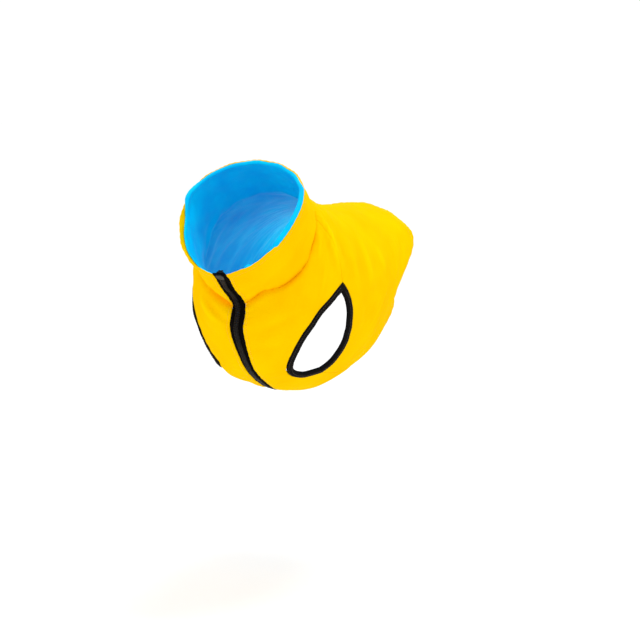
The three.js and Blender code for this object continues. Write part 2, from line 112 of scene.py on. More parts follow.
def lengthsAlong(line):
    # how far along a line each of its points lies: the running sum of the steps
    return np.concatenate([[0], np.cumsum(np.linalg.norm(np.diff(line, axis=0), axis=1))])


def formNormal(s, degrees):
    # the way down the form crossed with the way round it, which points outwards
    along = formPoint(s + 0.02, degrees) - formPoint(s - 0.02, degrees)
    around = formPoint(s, degrees + 0.5) - formPoint(s, degrees - 0.5)
    return unit(np.cross(along, around))


def signedDegrees(degrees):
    # the same angle counted from -180 to 180
    return np.where(degrees > 180, degrees - 360, degrees)


def bell(value, middle, spread):
    # 1 at the middle, and e to the minus square of (value - middle) / spread beside it
    return np.exp(-(((value - middle) / spread) ** 2))


def bellSum(value, table):
    # the sum of bell curves, each given as (middle, spread, height)
    return sum(height * bell(value, middle, spread) for middle, spread, height in table)


def seamAt(degrees):
    # the section at which the collar is sewn on: it wanders a little as it goes round
    return form["collarSeam"] + bellSum(signedDegrees(degrees), form["seamWander"])


def hemAt(degrees):
    # the hem dips forward at the flanks and hangs back on either side of the dip
    return form["hem"] + bellSum(np.abs(signedDegrees(degrees)), form["hemWander"])


def alongSeam(*degrees):
    # a line of (section, degrees) points on the collar's seam
    return [(float(seamAt(np.array(float(d)))), d) for d in degrees]


# Each fold, as (line, spread, height, ends). The line is given by (section, degrees) points on
# the cloth: above 0 degrees is the wearer's left. spread is the fold's half width and height
# its rise, both in mm, below 0 for a trough. ends is the share of the height that is left
# where the fold runs out.
folds = [
    # the collar folds over its own seam
    (alongSeam(8, 14, 20, 27, 35), 4.5, -3.4, 0.7),
    (alongSeam(38, 45, 52, 60, 68), 4.2, -3.0, 0.6),
    (alongSeam(70, 80, 90, 102, 116), 4.8, -2.8, 0.4),
    (alongSeam(130, 165, 179), 5.0, -1.6, 0.3),
    (alongSeam(-5, -13, -20, -27, -34), 6.0, -4.6, 0.7),
    (alongSeam(-37, -48, -60), 5.0, -2.8, 0.4),
    (alongSeam(-64, -78, -92, -112), 5.0, -2.6, 0.4),
    (alongSeam(-128, -160, -179), 5.0, -1.6, 0.3),
    # the collar itself bulges a little
    ([(1.2, 12), (1.1, 40), (1.2, 75)], 12, 1.2, 0.2),
    ([(1.15, -12), (1.3, -40), (1.1, -80)], 12, 1.4, 0.2),
    ([(1.3, 110), (1.2, 140), (1.3, 170)], 13, 1.0, 0.2),
    ([(1.25, -105), (1.3, -140), (1.2, -170)], 13, 1.1, 0.2),
    # chest
    ([(3.12, 9), (3.24, 18), (3.2, 29), (3.24, 42), (3.3, 52)], 6, -1.6, 0.3),
    ([(2.72, 14), (2.78, 34), (2.85, 56)], 9, 1.3, 0.3),
    ([(3.6, 12), (3.62, 24), (3.6, 36)], 8, 0.8, 0.2),
    ([(2.62, -44), (2.72, -30), (2.84, -17)], 5.5, 2.2, 0.3),
    ([(2.45, -30), (2.62, -18), (2.72, -10)], 4.5, -1.3, 0.3),
    ([(2.65, -12), (2.95, -8), (3.3, -7)], 4.5, -1.5, 0.2),
    ([(3.3, -44), (3.45, -28), (3.6, -14)], 8, -1.1, 0.3),
    # shoulder, left
    ([(2.08, 97), (2.35, 87), (2.65, 80)], 4.0, 1.3, 0.3),
    ([(2.85, 84), (3.15, 74), (3.4, 66)], 3.8, 1.0, 0.3),
    ([(2.5, 86), (2.9, 76), (3.2, 66)], 4.5, -0.8, 0.3),
    ([(2.2, 105), (2.65, 97), (3.05, 89), (3.4, 84)], 5.0, -1.2, 0.3),
    ([(2.3, 117), (2.65, 110), (2.97, 101), (3.45, 90)], 6.5, 2.4, 0.3),
    ([(3.2, 118), (3.68, 104), (4.1, 95)], 7, -1.7, 0.2),
    # flank, left
    ([(3.9, 110), (4.25, 101), (4.6, 92)], 6, 1.1, 0.3),
    ([(4.3, 118), (4.6, 106), (4.85, 96)], 5, -1.0, 0.3),
    ([(4.6, 128), (4.78, 117), (5.1, 103), (5.2, 95)], 6, 1.6, 0.2),
    ([(5.1, 126), (5.3, 114), (5.6, 101)], 6, -1.2, 0.2),
    ([(5.5, 122), (5.7, 112), (5.95, 103)], 5.5, 1.4, 0.2),
    ([(6.2, 126), (6.3, 112), (6.5, 98)], 7, -0.9, 0.2),
    ([(6.7, 124), (6.75, 110), (6.8, 96)], 7, 0.9, 0.2),
    ([(7.9, 134), (7.5, 124), (7.35, 118)], 10, 1.8, 0.3),
    ([(7.3, 120), (7.15, 110), (7.1, 98)], 7, -1.6, 0.3),
    ([(5.15, 88), (5.43, 78), (5.8, 68)], 5, -1.1, 0.2),
    ([(5.9, 90), (6.1, 76), (6.4, 62)], 8, 1.0, 0.2),
    ([(6.7, 84), (6.8, 70), (7.0, 56)], 8, -0.9, 0.2),
    # shoulder and flank, right, which lie a little differently
    ([(2.35, -109), (2.75, -100), (3.15, -93)], 6, -2.0, 0.3),
    ([(2.4, -120), (2.85, -110), (3.4, -98)], 7, 2.1, 0.3),
    ([(2.3, -90), (2.7, -82), (3.05, -72)], 4.5, 1.2, 0.3),
    ([(3.3, -120), (3.8, -106), (4.2, -96)], 8, -1.5, 0.2),
    ([(4.1, -114), (4.4, -104), (4.8, -92)], 6, 1.0, 0.3),
    ([(4.85, -126), (5.0, -114), (5.3, -98)], 7, 1.6, 0.2),
    ([(5.4, -124), (5.6, -112), (5.8, -100)], 6, -1.1, 0.2),
    ([(6.0, -120), (6.15, -108), (6.3, -94)], 7, 1.2, 0.2),
    ([(7.1, -124), (7.0, -112), (6.95, -98)], 8, -1.4, 0.3),
    ([(7.8, -132), (7.5, -122), (7.4, -112)], 10, 1.5, 0.3),
    ([(5.3, -88), (5.7, -76), (6.0, -64)], 6, -1.1, 0.2),
    ([(6.3, -86), (6.5, -72), (6.8, -58)], 8, 1.0, 0.2),
    # along the back
    ([(2.3, 150), (2.7, 166), (2.8, 179)], 8, 0.9, 0.2),
    ([(2.35, -148), (2.75, -166), (2.85, -179)], 8, 0.8, 0.2),
    ([(7.4, 150), (7.3, 166), (7.35, 179)], 9, -0.8, 0.2),
    ([(7.35, -150), (7.45, -168), (7.4, -179)], 9, -0.7, 0.2),
    # broad swells and hollows
    ([(7.0, 58), (7.5, 52), (8.2, 46)], 16, 2.6, 0.3),
    ([(7.0, -58), (7.5, -52), (8.2, -46)], 16, 2.2, 0.3),
    ([(4.9, -30), (5.3, -25), (5.8, -20)], 13, 3.2, 0.2),
    ([(4.4, -172), (6.3, -170), (8.3, -160)], 26, -3.6, 0),
    # belly
    ([(5.2, 8), (5.3, 14), (5.5, 20)], 6, -0.8, 0.3),
    ([(6.4, 9), (6.5, 20), (6.4, 34)], 8, -1.0, 0.2),
    ([(6.2, -9), (6.4, -22), (6.3, -36)], 8, -0.9, 0.2),
    ([(7.2, -8), (7.3, -20), (7.2, -34)], 8, 0.8, 0.2),
]


def clothPlace(s, degrees):
    # a place on the cloth in mm: down from the rim, and round from the zip
    return s * form["rowSpacing"], degrees * form["degreeSpacing"]


def flatPlace(s, degrees):
    # the same, as (down, round) points and with the right side below 0
    return np.stack(clothPlace(s, signedDegrees(degrees)), -1)


def foldHeight(s, degrees, widest=100):
    # a bell curve of the distance to the fold's line, lower towards the line's ends, summed
    # over the folds that are not wider than `widest`
    place = flatPlace(s, degrees)
    girth = 360 * form["degreeSpacing"]
    height = np.zeros(place.shape[:-1])
    for path, spread, rise, ends in folds:
        if spread > widest:
            continue
        points = flatPlace(*np.array(path, float).T)
        starts = lengthsAlong(points)
        near = np.full(height.shape, np.inf)
        at = np.zeros(height.shape)
        for k, length in enumerate(np.diff(starts)):
            line = points[k + 1] - points[k]
            reach = place - points[k]
            reach[..., 1] = (reach[..., 1] + girth / 2) % girth - girth / 2  # goes all round
            share = np.clip((reach @ line) / length**2, 0, 1)
            distance = np.linalg.norm(reach - share[..., None] * line, axis=-1)
            closer = distance < near
            near = np.where(closer, distance, near)
            at = np.where(closer, (starts[k] + share * length) / starts[-1], at)
        fade = 1 - (1 - ends) * (2 * at - 1) ** 2
        height += rise * fade * bell(near, 0, spread)
    return height


softness = {"puff": 0.5, "puffLength": 52, "ripple": 0.24, "rippleLength": 9}


def rippleHeight(s, degrees):
    # fine ripples that run down the flanks, wander sideways and come and go
    u, v = clothPlace(s, degrees)
    turn = 2 * np.pi / softness["rippleLength"]
    drift = 2.2 * np.sin(v / 31) + 1.4 * np.sin(v / 13 + u / 40)
    come = np.clip(np.sin(u / 27 + 1.7 * np.sin(v / 35)), 0, 1)
    flank = 0.35 + 0.65 * bell(np.abs(signedDegrees(degrees)), 105, 34)
    return softness["ripple"] * np.sin(turn * u + drift) * come * flank


def softHeight(s, degrees):
    # padding that swells unevenly: sines along and across whose phases wander
    u, v = clothPlace(s, degrees)
    turn = 2 * np.pi / softness["puffLength"]
    puff = np.sin(turn * u + 1.3 * np.sin(turn * v * 0.6)) * np.sin(turn * v * 0.8 + 0.9)
    puff += 0.5 * np.sin(turn * 1.9 * u + 2.1) * np.sin(turn * 1.6 * v + 1.1 * np.sin(turn * u))
    return softness["puff"] * puff + rippleHeight(s, degrees)


def clothPoint(s, degrees, depth):
    # the form's point, moved out by the folds and the padding and in by `depth`
    height = foldHeight(s, degrees) + softHeight(s, degrees) - depth
    return formPoint(s, degrees) + formNormal(s, degrees) * height[..., None]


def degreesAtWidth(s, x):
    # the angle at which a row is x from the middle: the arc sine of x over its half width
    return np.degrees(np.arcsin(x / sectionAt(s)[..., 4]))


def smoothStep(low, high, value):
    # 0 at `low`, 1 at `high`, and 3 t^2 - 2 t^3 on the way
    share = np.clip((value - low) / (high - low), 0, 1)
    return share * share * (3 - 2 * share)


def gridFaces(rows, columns, start=0):
    # each quad runs down its column first, so it faces the way that formNormal points
    i, j = np.meshgrid(np.arange(rows - 1), np.arange(columns - 1), indexing="ij")
    a = start + i * columns + j
    return np.stack([a, a + columns, a + columns + 1, a + 1], axis=-1).reshape(-1, 4)


def ringFaces(rings, sides, closed=False):
    # quads between each ring of points and the next, and from the last to the first if closed
    i, j = np.meshgrid(np.arange(rings if closed else rings - 1), np.arange(sides), indexing="ij")
    ahead, beside = (i + 1) % rings, (j + 1) % sides
    corners = [i * sides + j, i * sides + beside, ahead * sides + beside, ahead * sides + j]
    return np.stack(corners, axis=-1).reshape(-1, 4)


def makePiece(name, points, faces, materials, chosen=None, uv=None, sharp=None):
    # points in mm; chosen is each face's material, uv each point's place on the cloth in mm
    # and sharp the angle in degrees from which an edge is drawn sharp
    mesh = bpy.data.meshes.new(name)
    mesh.from_pydata((points * toMetres).tolist(), [], [list(face) for face in faces])
    mesh.polygons.foreach_set("use_smooth", np.ones(len(mesh.polygons), bool))
    for material in materials:
        mesh.materials.append(material)
    if chosen is not None:
        mesh.polygons.foreach_set("material_index", np.asarray(chosen, np.int32))
    if uv is not None:
        corners = np.empty(len(mesh.loops), np.int32)
        mesh.loops.foreach_get("vertex_index", corners)
        layer = mesh.uv_layers.new(name="cloth")
        layer.data.foreach_set("uv", (uv[corners] * toMetres).astype(np.float32).ravel())
    mesh.update()
    if sharp is not None:
        mesh.set_sharp_from_angle(angle=math.radians(sharp))
    piece = bpy.data.objects.new(name, mesh)
    bpy.context.collection.objects.link(piece)
    return piece


def shellPiece(name, s, degrees, outer, inner, materials):
    # a wall of cloth: its outer face, its inner face and the cut edge all round. outer and
    # inner are depths under the form, for each point of the grid, and the inner face gets the
    # last of the materials.
    rows, columns = s.shape
    count = rows * columns
    points = np.concatenate([
        clothPoint(s, degrees, outer).reshape(-1, 3),
        clothPoint(s, degrees, inner).reshape(-1, 3),
    ])
    top = gridFaces(rows, columns)
    under = gridFaces(rows, columns, count)[:, ::-1]
    i, j = np.arange(rows - 1), np.arange(columns - 1)
    first, last = j, (rows - 1) * columns + j
    left, right = i * columns, i * columns + columns - 1
    edges = np.concatenate([
        np.stack([first, first + 1, count + first + 1, count + first], -1),
        np.stack([last + 1, last, count + last, count + last + 1], -1),
        np.stack([left + columns, left, count + left, count + left + columns], -1),
        np.stack([right, right + columns, count + right + columns, count + right], -1),
    ])
    chosen = [0] * len(top) + [len(materials) - 1] * len(under) + [0] * len(edges)
    flat = np.stack(clothPlace(s, degrees)[::-1], -1).reshape(-1, 2)
    piece = makePiece(name, points, np.concatenate([top, under, edges]), materials, chosen,
                      np.concatenate([flat, flat]), form["sharpAngle"])
    # how high each point lies in the folds, which the nylon turns into painted light: a trough
    # gets painted shade, a deeper orange that stands for the dyed cloth lit by its own colour,
    # and a ridge gets a painted highlight, a little paler
    height = foldHeight(s, degrees, form["sharpSpread"]) + 1.5 * rippleHeight(s, degrees)
    height = np.clip(height / form["deepFold"], -1, 1).ravel()
    relief = piece.data.attributes.new("relief", "FLOAT", "POINT")
    relief.data.foreach_set("value", np.concatenate([height, height]).astype(np.float32))
    return piece


def closedForms(name, rings, material):
    # many small closed forms at once: rings is (form, ring, side, xyz), and each form's first
    # and last rings are shut by a fan round their middle
    forms, count, sides = rings.shape[:3]
    each = count * sides + 2
    points = np.concatenate([
        rings.reshape(forms, count * sides, 3),
        rings[:, :1].mean(axis=2), rings[:, -1:].mean(axis=2),
    ], axis=1).reshape(-1, 3)
    side = np.arange(sides)
    ahead = (side + 1) % sides
    last = (count - 1) * sides
    fans = np.concatenate([
        np.stack([ahead, side, np.full(sides, count * sides)], -1),
        np.stack([last + side, last + ahead, np.full(sides, count * sides + 1)], -1),
    ])
    starts = (np.arange(forms) * each)[:, None, None]
    faces = (ringFaces(count, sides) + starts).reshape(-1, 4).tolist()
    faces += (fans + starts).reshape(-1, 3).tolist()
    return makePiece(name, points, faces, [material])


rod = {"rings": 5, "sides": 6, "taper": 0.96}


def capsules(name, centre, along, out, length, radius, material, flatness=1.0):
    # rounded rods: rings along `along` whose radius goes with the square root of 1 - t^4, where
    # t grows from the middle to `taper` at the ends, flattened in the direction `out`
    turn = np.linspace(-1, 1, rod["rings"])
    swell = np.sqrt(1 - (turn * rod["taper"]) ** 4)
    angle = np.linspace(0, 2 * np.pi, rod["sides"], endpoint=False)
    across = np.cross(out, along)
    spot = centre[:, None, None] + along[:, None, None] * (turn * length / 2)[:, None, None]
    ringOut = (np.sin(angle) * flatness)[None, :, None] * swell[:, None, None] * radius
    ringAcross = np.cos(angle)[None, :, None] * swell[:, None, None] * radius
    rings = spot + out[:, None, None] * ringOut + across[:, None, None] * ringAcross
    return closedForms(name, rings[:, :, ::-1], material)


def linear(code):
    # an sRGB hex value as linear light
    parts = [int(code[k:k + 2], 16) / 255 for k in (1, 3, 5)]
    light = [p / 12.92 if p <= 0.04045 else ((p + 0.055) / 1.055) ** 2.4 for p in parts]
    return (*light, 1.0)


def node(tree, kind, links=None, out=0, **settings):
    # adds one node with its settings. Each input in links gets a link, a hex colour or a
    # number, and the output that `out` names comes back.
    made = tree.nodes.new("ShaderNode" + kind)
    for key, value in settings.items():
        setattr(made, key, value)
    for key, value in (links or {}).items():
        if isinstance(value, bpy.types.NodeSocket):
            tree.links.new(value, made.inputs[key])
        else:
            made.inputs[key].default_value = linear(value) if isinstance(value, str) else value
    return made.outputs[out] if made.outputs else made


def newMaterial(name):
    # an empty material and its node tree
    material = bpy.data.materials.new(name)
    material.use_nodes = True
    material.node_tree.nodes.clear()
    return material, material.node_tree


def finishMaterial(tree, **shader):
    # the inputs whose names have two words come with an underscore between them
    links = {key.replace("_", " "): value for key, value in shader.items()}
    node(tree, "OutputMaterial", {"Surface": node(tree, "BsdfPrincipled", links)})


def waveScale(spacing):
    # a band texture repeats every pi / 10 of its coordinate, here in metres
    return math.pi / 10 / (spacing * toMetres)


def weaveHeight(tree, warp, weft):
    # two sets of threads at right angles on the cloth's own places: one wave times the other,
    # with their spacings in mm
    place = node(tree, "UVMap", uv_map="cloth")
    sets = [node(tree, "TexWave", {"Vector": place, "Scale": waveScale(spacing)}, "Fac",
                 bands_direction=direction)
            for spacing, direction in ((warp, "X"), (weft, "Y"))]
    return node(tree, "Math", {0: sets[0], 1: sets[1]}, operation="MULTIPLY")


def blotches(tree, size, low=0.0, high=1.0, used=(0, 1), detail=3, roughness=0.5):
    # clouds about `size` mm wide, which go from `low` to `high` over the used part of their
    # own range
    place = node(tree, "TexCoord", out="Object")
    cloud = node(tree, "TexNoise", {
        "Vector": place, "Scale": 1 / (size * toMetres), "Detail": detail,
        "Roughness": roughness}, "Fac")
    return node(tree, "MapRange", {
        "Value": cloud, "From Min": used[0], "From Max": used[1], "To Min": low, "To Max": high})


def mottle(tree, size, dark, light, used=(0.3, 0.7), detail=3):
    # two colours in soft patches, `size` mm wide
    share = blotches(tree, size, used=used, detail=detail)
    return node(tree, "Mix", {0: share, 6: dark, 7: light}, 2, data_type="RGBA")


nylon = {
    # the ridge colour is a painted highlight, a paler yellow on the folds' ridges; the crease
    # colour is painted shade, a deeper orange in their troughs, and threadShade lays the same
    # painted shade between the threads
    "bright": "#F4C900", "deep": "#F4BF00", "creaseShade": "#F69A00", "ridge": "#F4D800",
    "ridgeRelief": (0.03, 0.6), "creaseRelief": (-0.02, -1.25),  # where each colour comes in
    "threads": 1.6, "threadDepth": 0.06, "threadShade": 0.12,
    "patch": 45, "wrinkle": 14, "wrinkleDepth": 0.3,
}


def yellowNylonMaterial():
    # dyed nylon taffeta, calendered on its face: a close plain weave with a low satin gloss.
    # Its threads are 0.15 mm apart, drawn 1.6 mm apart so that they just show.
    material, tree = newMaterial("yellowNylonTaffeta")
    colour = mottle(tree, nylon["patch"], nylon["deep"], nylon["bright"])
    relief = node(tree, "Attribute", out="Fac", attribute_name="relief")
    weave = weaveHeight(tree, nylon["threads"], nylon["threads"])
    onRidgeHighlight, inCreaseShade = (
        node(tree, "MapRange", {"Value": relief, "From Min": start, "From Max": end},
             interpolation_type=curve)
        for (start, end), curve in ((nylon["ridgeRelief"], "LINEAR"),
                                    (nylon["creaseRelief"], "SMOOTHSTEP")))
    inWeave = node(tree, "MapRange", {
        "Value": weave, "To Min": nylon["threadShade"], "To Max": 0})
    # painted light: a highlight on the fold ridges, and shade in the fold troughs and between the
    # threads
    for share, tint in ((onRidgeHighlight, "ridge"), (inCreaseShade, "creaseShade"), (inWeave, "creaseShade")):
        colour = node(tree, "Mix", {0: share, 6: colour, 7: nylon[tint]}, 2, data_type="RGBA")
    wrinkles = node(tree, "Bump", {
        "Height": blotches(tree, nylon["wrinkle"], detail=2, roughness=0.4),
        "Distance": nylon["wrinkleDepth"] * toMetres})
    threads = node(tree, "Bump", {
        "Height": weave, "Distance": nylon["threadDepth"] * toMetres, "Normal": wrinkles})
    finishMaterial(tree, Base_Color=colour, Roughness=blotches(tree, 8, 0.5, 0.62), IOR=1.53,
                   Specular_IOR_Level=0.0005, Specular_Tint="#FFE060", Normal=threads)
    return material


lining = {
    "dark": "#00B4F4", "light": "#00D2FF", "shade": "#0098D8", "patch": 30,
    "threads": 1.6, "threadDepth": 0.08, "threadShade": 0.2,
}


def blueLiningMaterial():
    # smooth nylon lining taffeta: a flat plain weave, nearly matt, with a faint silky lift. Its
    # threads too are drawn ten times as coarse as they are.
    material, tree = newMaterial("blueLiningTaffeta")
    colour = mottle(tree, lining["patch"], lining["dark"], lining["light"])
    weave = weaveHeight(tree, lining["threads"], lining["threads"])
    share = node(tree, "MapRange", {"Value": weave, "To Min": lining["threadShade"], "To Max": 0})
    colour = node(tree, "Mix", {0: share, 6: colour, 7: lining["shade"]}, 2, data_type="RGBA")
    threads = node(tree, "Bump", {"Height": weave, "Distance": lining["threadDepth"] * toMetres})
    finishMaterial(tree, Base_Color=colour, Roughness=blotches(tree, 7, 0.5, 0.62), IOR=1.53,
                   Specular_IOR_Level=0.03, Normal=threads)
    return material


tape = {"dark": "#030202", "light": "#100C0A", "warp": 0.9, "weft": 1.2, "depth": 0.12}


def blackTapeMaterial():
    # woven polyester zip tape: a fine twill, matt black, with a painted highlight, a grey lift,
    # on the tops of its threads and painted shade between them
    material, tree = newMaterial("blackWovenTape")
    weave = weaveHeight(tree, tape["warp"], tape["weft"])
    colour = node(tree, "Mix", {0: weave, 6: tape["dark"], 7: tape["light"]}, 2, data_type="RGBA")
    threads = node(tree, "Bump", {"Height": weave, "Distance": tape["depth"] * toMetres})
    finishMaterial(tree, Base_Color=colour, Roughness=blotches(tree, 5, 0.7, 0.85), IOR=1.53,
                   Specular_IOR_Level=0.03, Normal=threads)
    return material


elastic = {
    "dark": "#080605", "light": "#1A1614", "ribs": 0.9, "crimp": 1.3, "crimpWander": 1.5,
    "depth": 0.12,
}


def blackElasticMaterial():
    # folded elastic braid: rubber cores wrapped in textured nylon, seen as fine ribs that run
    # along the band, about 0.9 mm apart
    material, tree = newMaterial("blackElasticBraid")
    place = node(tree, "UVMap", uv_map="cloth")
    ribs = node(tree, "TexWave", {"Vector": place, "Scale": waveScale(elastic["ribs"])}, "Fac",
                bands_direction="X")
    crimp = node(tree, "TexWave", {
        "Vector": place, "Scale": waveScale(elastic["crimp"]), "Detail": 1,
        "Distortion": elastic["crimpWander"]}, "Fac", bands_direction="Y")
    height = node(tree, "Math", {0: ribs, 1: crimp}, operation="ADD")
    # painted light: the braid's raised ribs and crimps are painted lighter, as a highlight, and
    # the hollows between them darker, as shade
    share = node(tree, "MapRange", {"Value": height, "From Min": 0.3, "From Max": 1.7})
    colour = node(tree, "Mix", {0: share, 6: elastic["dark"], 7: elastic["light"]}, 2,
                  data_type="RGBA")
    braid = node(tree, "Bump", {"Height": height, "Distance": elastic["depth"] * toMetres})
    finishMaterial(tree, Base_Color=colour, Roughness=blotches(tree, 4, 0.72, 0.9), IOR=1.5,
                   Specular_IOR_Level=0.06, Normal=braid)
    return material


def blackCoilMaterial():
    # nylon monofilament wound into teeth: smooth, dark and a little glossy
    material, tree = newMaterial("blackNylonCoil")
    finishMaterial(tree, Base_Color=mottle(tree, 2, "#0B0807", "#241D19", (0, 1)), IOR=1.53,
                   Roughness=blotches(tree, 1, 0.35, 0.5), Specular_IOR_Level=0.15)
    return material


def blackEnamelMaterial():
    # zinc casting under baked black enamel: even gloss, rubbed a little duller in patches, and
    # the faint orange peel of the bake
    material, tree = newMaterial("blackEnamelledZinc")
    worn = {"used": (0.4, 0.7), "detail": 4}
    peel = node(tree, "Bump", {
        "Height": blotches(tree, 0.8, detail=2), "Distance": 0.02 * toMetres})
    finishMaterial(tree, Base_Color=mottle(tree, 3, "#070606", "#151312", **worn), IOR=1.5,
                   Roughness=blotches(tree, 3, 0.28, 0.45, **worn), Specular_IOR_Level=0.15,
                   Normal=peel)
    return material


def threadMaterial(name, dark, light):
    # spun polyester sewing thread: two twisted plies with a soft shine
    material, tree = newMaterial(name)
    plies = node(tree, "Bump", {
        "Height": blotches(tree, 0.5, detail=1), "Distance": 0.05 * toMetres})
    finishMaterial(tree, Base_Color=mottle(tree, 0.5, dark, light, (0, 1), 1), IOR=1.5,
                   Roughness=blotches(tree, 0.5, 0.45, 0.65, detail=1), Specular_IOR_Level=0.3,
                   Normal=plies)
    return material


yellowNylon = yellowNylonMaterial()
blueLining = blueLiningMaterial()
blackTape = blackTapeMaterial()
blackElastic = blackElasticMaterial()
blackCoil = blackCoilMaterial()
blackEnamel = blackEnamelMaterial()
yellowThread = threadMaterial("yellowSewingThread", "#E6AC00", "#FFD020")
blackThread = threadMaterial("blackSewingThread", "#0F0D0D", "#2C2827")
print("materials made")


# As (section, degrees round from the zip), for the wearer's left (1) and right (-1), where the
# jacket sits a little further round.
cut = {
    "shoulderSeam": {side: [(2, 112), (2.7, 104), (3.3, 96), (3.9, 86)] for side in (1, -1)},
    "armholeFront": {
        1: [(3.9, 86), (3.72, 75), (3.66, 60), (3.89, 43.5), (4.25, 32), (4.64, 24),
            (5, 21), (5.4, 24), (5.72, 34)],
        -1: [(3.9, 86), (3.72, 75), (3.68, 60), (3.94, 46), (4.32, 37), (4.75, 32), (5.1, 30.5),
             (5.45, 31.5), (5.72, 36)],
    },
    "armholeRear": {
        1: [(3.9, 86), (4.27, 84), (4.65, 79), (5.05, 69), (5.45, 57), (5.7, 45), (5.72, 34)],
        -1: [(3.9, 86), (4.27, 84), (4.65, 79), (5.05, 69), (5.45, 57), (5.7, 46), (5.72, 36)],
    },
    "sideSeam": {1: [(5.72, 34), (6.8, 37), (8, 41)], -1: [(5.72, 36), (6.8, 37.5), (8, 41)]},
    "shoulderSteps": 38, "armholeSteps": 68, "sideSteps": 40,
    "frontColumns": 72, "backColumns": 200,
    "seamGap": 0.3, "collarGap": 0.12, "neckSpacing": 27,
    "wall": 3.0,
    # the sections at which the row from the armhole's top meets the zip and the back line, and
    # the one at which the row from its bottom does, from where the rows follow the hem
    "frontApex": 3, "backApex": 3.5, "hemStarts": 6,
    "frontTurn": 1.8,  # the power with which a front's row turns from level to its edge
    "crowding": 0.45, "meanRadius": 0.8,
    "samples": 60,  # of each stretch between two places of a line
}


def stations(table, count):
    # a smooth line through the table's places, cut into equal lengths of cloth
    scale = np.array([form["rowSpacing"], form["degreeSpacing"]])
    knots = np.array(table, float) * scale
    ends = np.vstack([knots[:1], knots, knots[-1:]])
    spans = len(knots) - 1
    t = np.linspace(0, spans, cut["samples"] * spans + 1)
    i = np.minimum(t.astype(int), spans - 1)
    a, b, c, d = (ends[i + k] for k in range(4))
    line = cubic((t - i)[:, None], b, c, (c - a) / 2, (d - b) / 2)
    lengths = lengthsAlong(line)
    even = np.linspace(0, lengths[-1], count + 1)
    return np.stack([np.interp(even, lengths, line[:, k]) for k in range(2)], 1) / scale


frontLine, rearLine, frontEdge, backEdge = {}, {}, {}, {}
for side in (1, -1):
    shoulderLine = stations(cut["shoulderSeam"][side], cut["shoulderSteps"])
    frontLine[side] = stations(cut["armholeFront"][side], cut["armholeSteps"])
    rearLine[side] = stations(cut["armholeRear"][side], cut["armholeSteps"])
    sideLine = stations(cut["sideSeam"][side], cut["sideSteps"])
    frontEdge[side] = np.vstack([shoulderLine, frontLine[side][1:], sideLine[1:]])
    backEdge[side] = np.vstack([shoulderLine, rearLine[side][1:], sideLine[1:]])
stationCount = len(frontEdge[1])


def centreSections(apexSection):
    # the section at which each station's row meets the zip or the back line
    knots = np.cumsum([0, cut["shoulderSteps"], cut["armholeSteps"], cut["sideSteps"]])
    station = np.arange(stationCount)
    return np.interp(station, knots,
                     [form["collarSeam"], apexSection, cut["hemStarts"], form["hem"]])


def evenedShares(columns):
    # shares of a row from 0 to 1, even ones blended with a half cosine wave's, which crowd
    # towards both ends
    t = np.linspace(0, 1, columns + 1)
    return (1 - cut["crowding"]) * t + cut["crowding"] * (0.5 - 0.5 * np.cos(np.pi * t))


def halfGapDegrees(s):
    # half the gap between two panels, as an angle: the ring's radius there is about meanRadius
    # of its half width
    return cut["seamGap"] / 2 / cut["meanRadius"] / np.radians(sectionAt(s)[..., 4])


def trimmed(s, degrees):
    # the first rows shift to the collar seam and the last rows to the hem: one shift fades
    # out within a section of the seam, and the other sets in at hemStarts
    start = form["collarSeam"] + cut["collarGap"] / 2 / cut["neckSpacing"]
    shifted = np.clip(form["collarSeam"] + 1 - s, 0, 1)
    drawn = np.maximum((s - cut["hemStarts"]) / (form["hem"] - cut["hemStarts"]), 0)
    return (np.maximum(s, start) + shifted * (seamAt(degrees) - form["collarSeam"])
            + drawn * (hemAt(degrees) - form["hem"]))


fastener = {
    "tapeOuter": 1.1, "tapeInner": 2.0, "tapeStart": 0.2, "tapeRows": 201, "tapeColumns": 9,
    "pitch": 1.7, "toothRadius": 0.56, "toothLength": 3.3, "overlap": 0.5, "lean": 0.16,
    "topSection": 0.37, "sunk": 0.55,  # where the coil starts, and how deep its middle lies
    "stopsShort": 0.03, "samples": 3000,  # before the hem, in sections; of the coil's line
    # sideways, in mm, as (section, spread, shift): the zip isn't sewn in quite straight
    "wander": [(0.75, 0.32, -1.7), (1.2, 0.4, -2.8), (2.4, 0.35, 0.9), (3.0, 0.4, -0.9),
               (4.3, 1.2, -1.3), (6.6, 1.1, -9.0)],
    "wideHalf": 7.9, "narrowHalf": 5.2, "topNarrower": 0.6,  # of the gap between cloth edges
    "narrows": (2.8, 4.6),  # the sections between which it does
}


def zipMiddle(s):
    # how far the zip strays to the wearer's left
    return bellSum(s, fastener["wander"])


def zipHalf(s):
    # half the gap between the cloth's edges: wide at the neck, narrow on the belly
    narrowing = smoothStep(*fastener["narrows"], s)
    narrowing = narrowing * (fastener["wideHalf"] - fastener["narrowHalf"])
    return fastener["wideHalf"] - narrowing - fastener["topNarrower"] * bell(s, 0, 0.45)


def zipEdgeDegrees(level, side, rowAt):
    # the angle of the cloth's edge beside the zip, counted towards that side, for a row near
    # the section `level` that lies at rowAt(degrees)
    guess = degreesAtWidth(level, zipHalf(level) + side * zipMiddle(level))
    s = rowAt(guess if side > 0 else 360 - guess)
    return degreesAtWidth(s, zipHalf(s) + side * zipMiddle(s))


def edgeDistances(s, degrees):
    # how far each point of the grid is, along the cloth, from its first and last column and
    # from its first and last row, in mm
    points = formPoint(s, degrees)
    across = np.linalg.norm(np.diff(points, axis=1), axis=-1)
    along = np.linalg.norm(np.diff(points, axis=0), axis=-1)
    left = np.concatenate([np.zeros((s.shape[0], 1)), np.cumsum(across, axis=1)], axis=1)
    top = np.concatenate([np.zeros((1, s.shape[1])), np.cumsum(along, axis=0)], axis=0)
    return left, left[:, -1:] - left, top, top[-1:] - top


def rolled(distance, drop, reach):
    # an edge that rounds off: a parabola that meets the flat cloth at `reach`
    return drop * np.clip(1 - distance / reach, 0, 1) ** 2


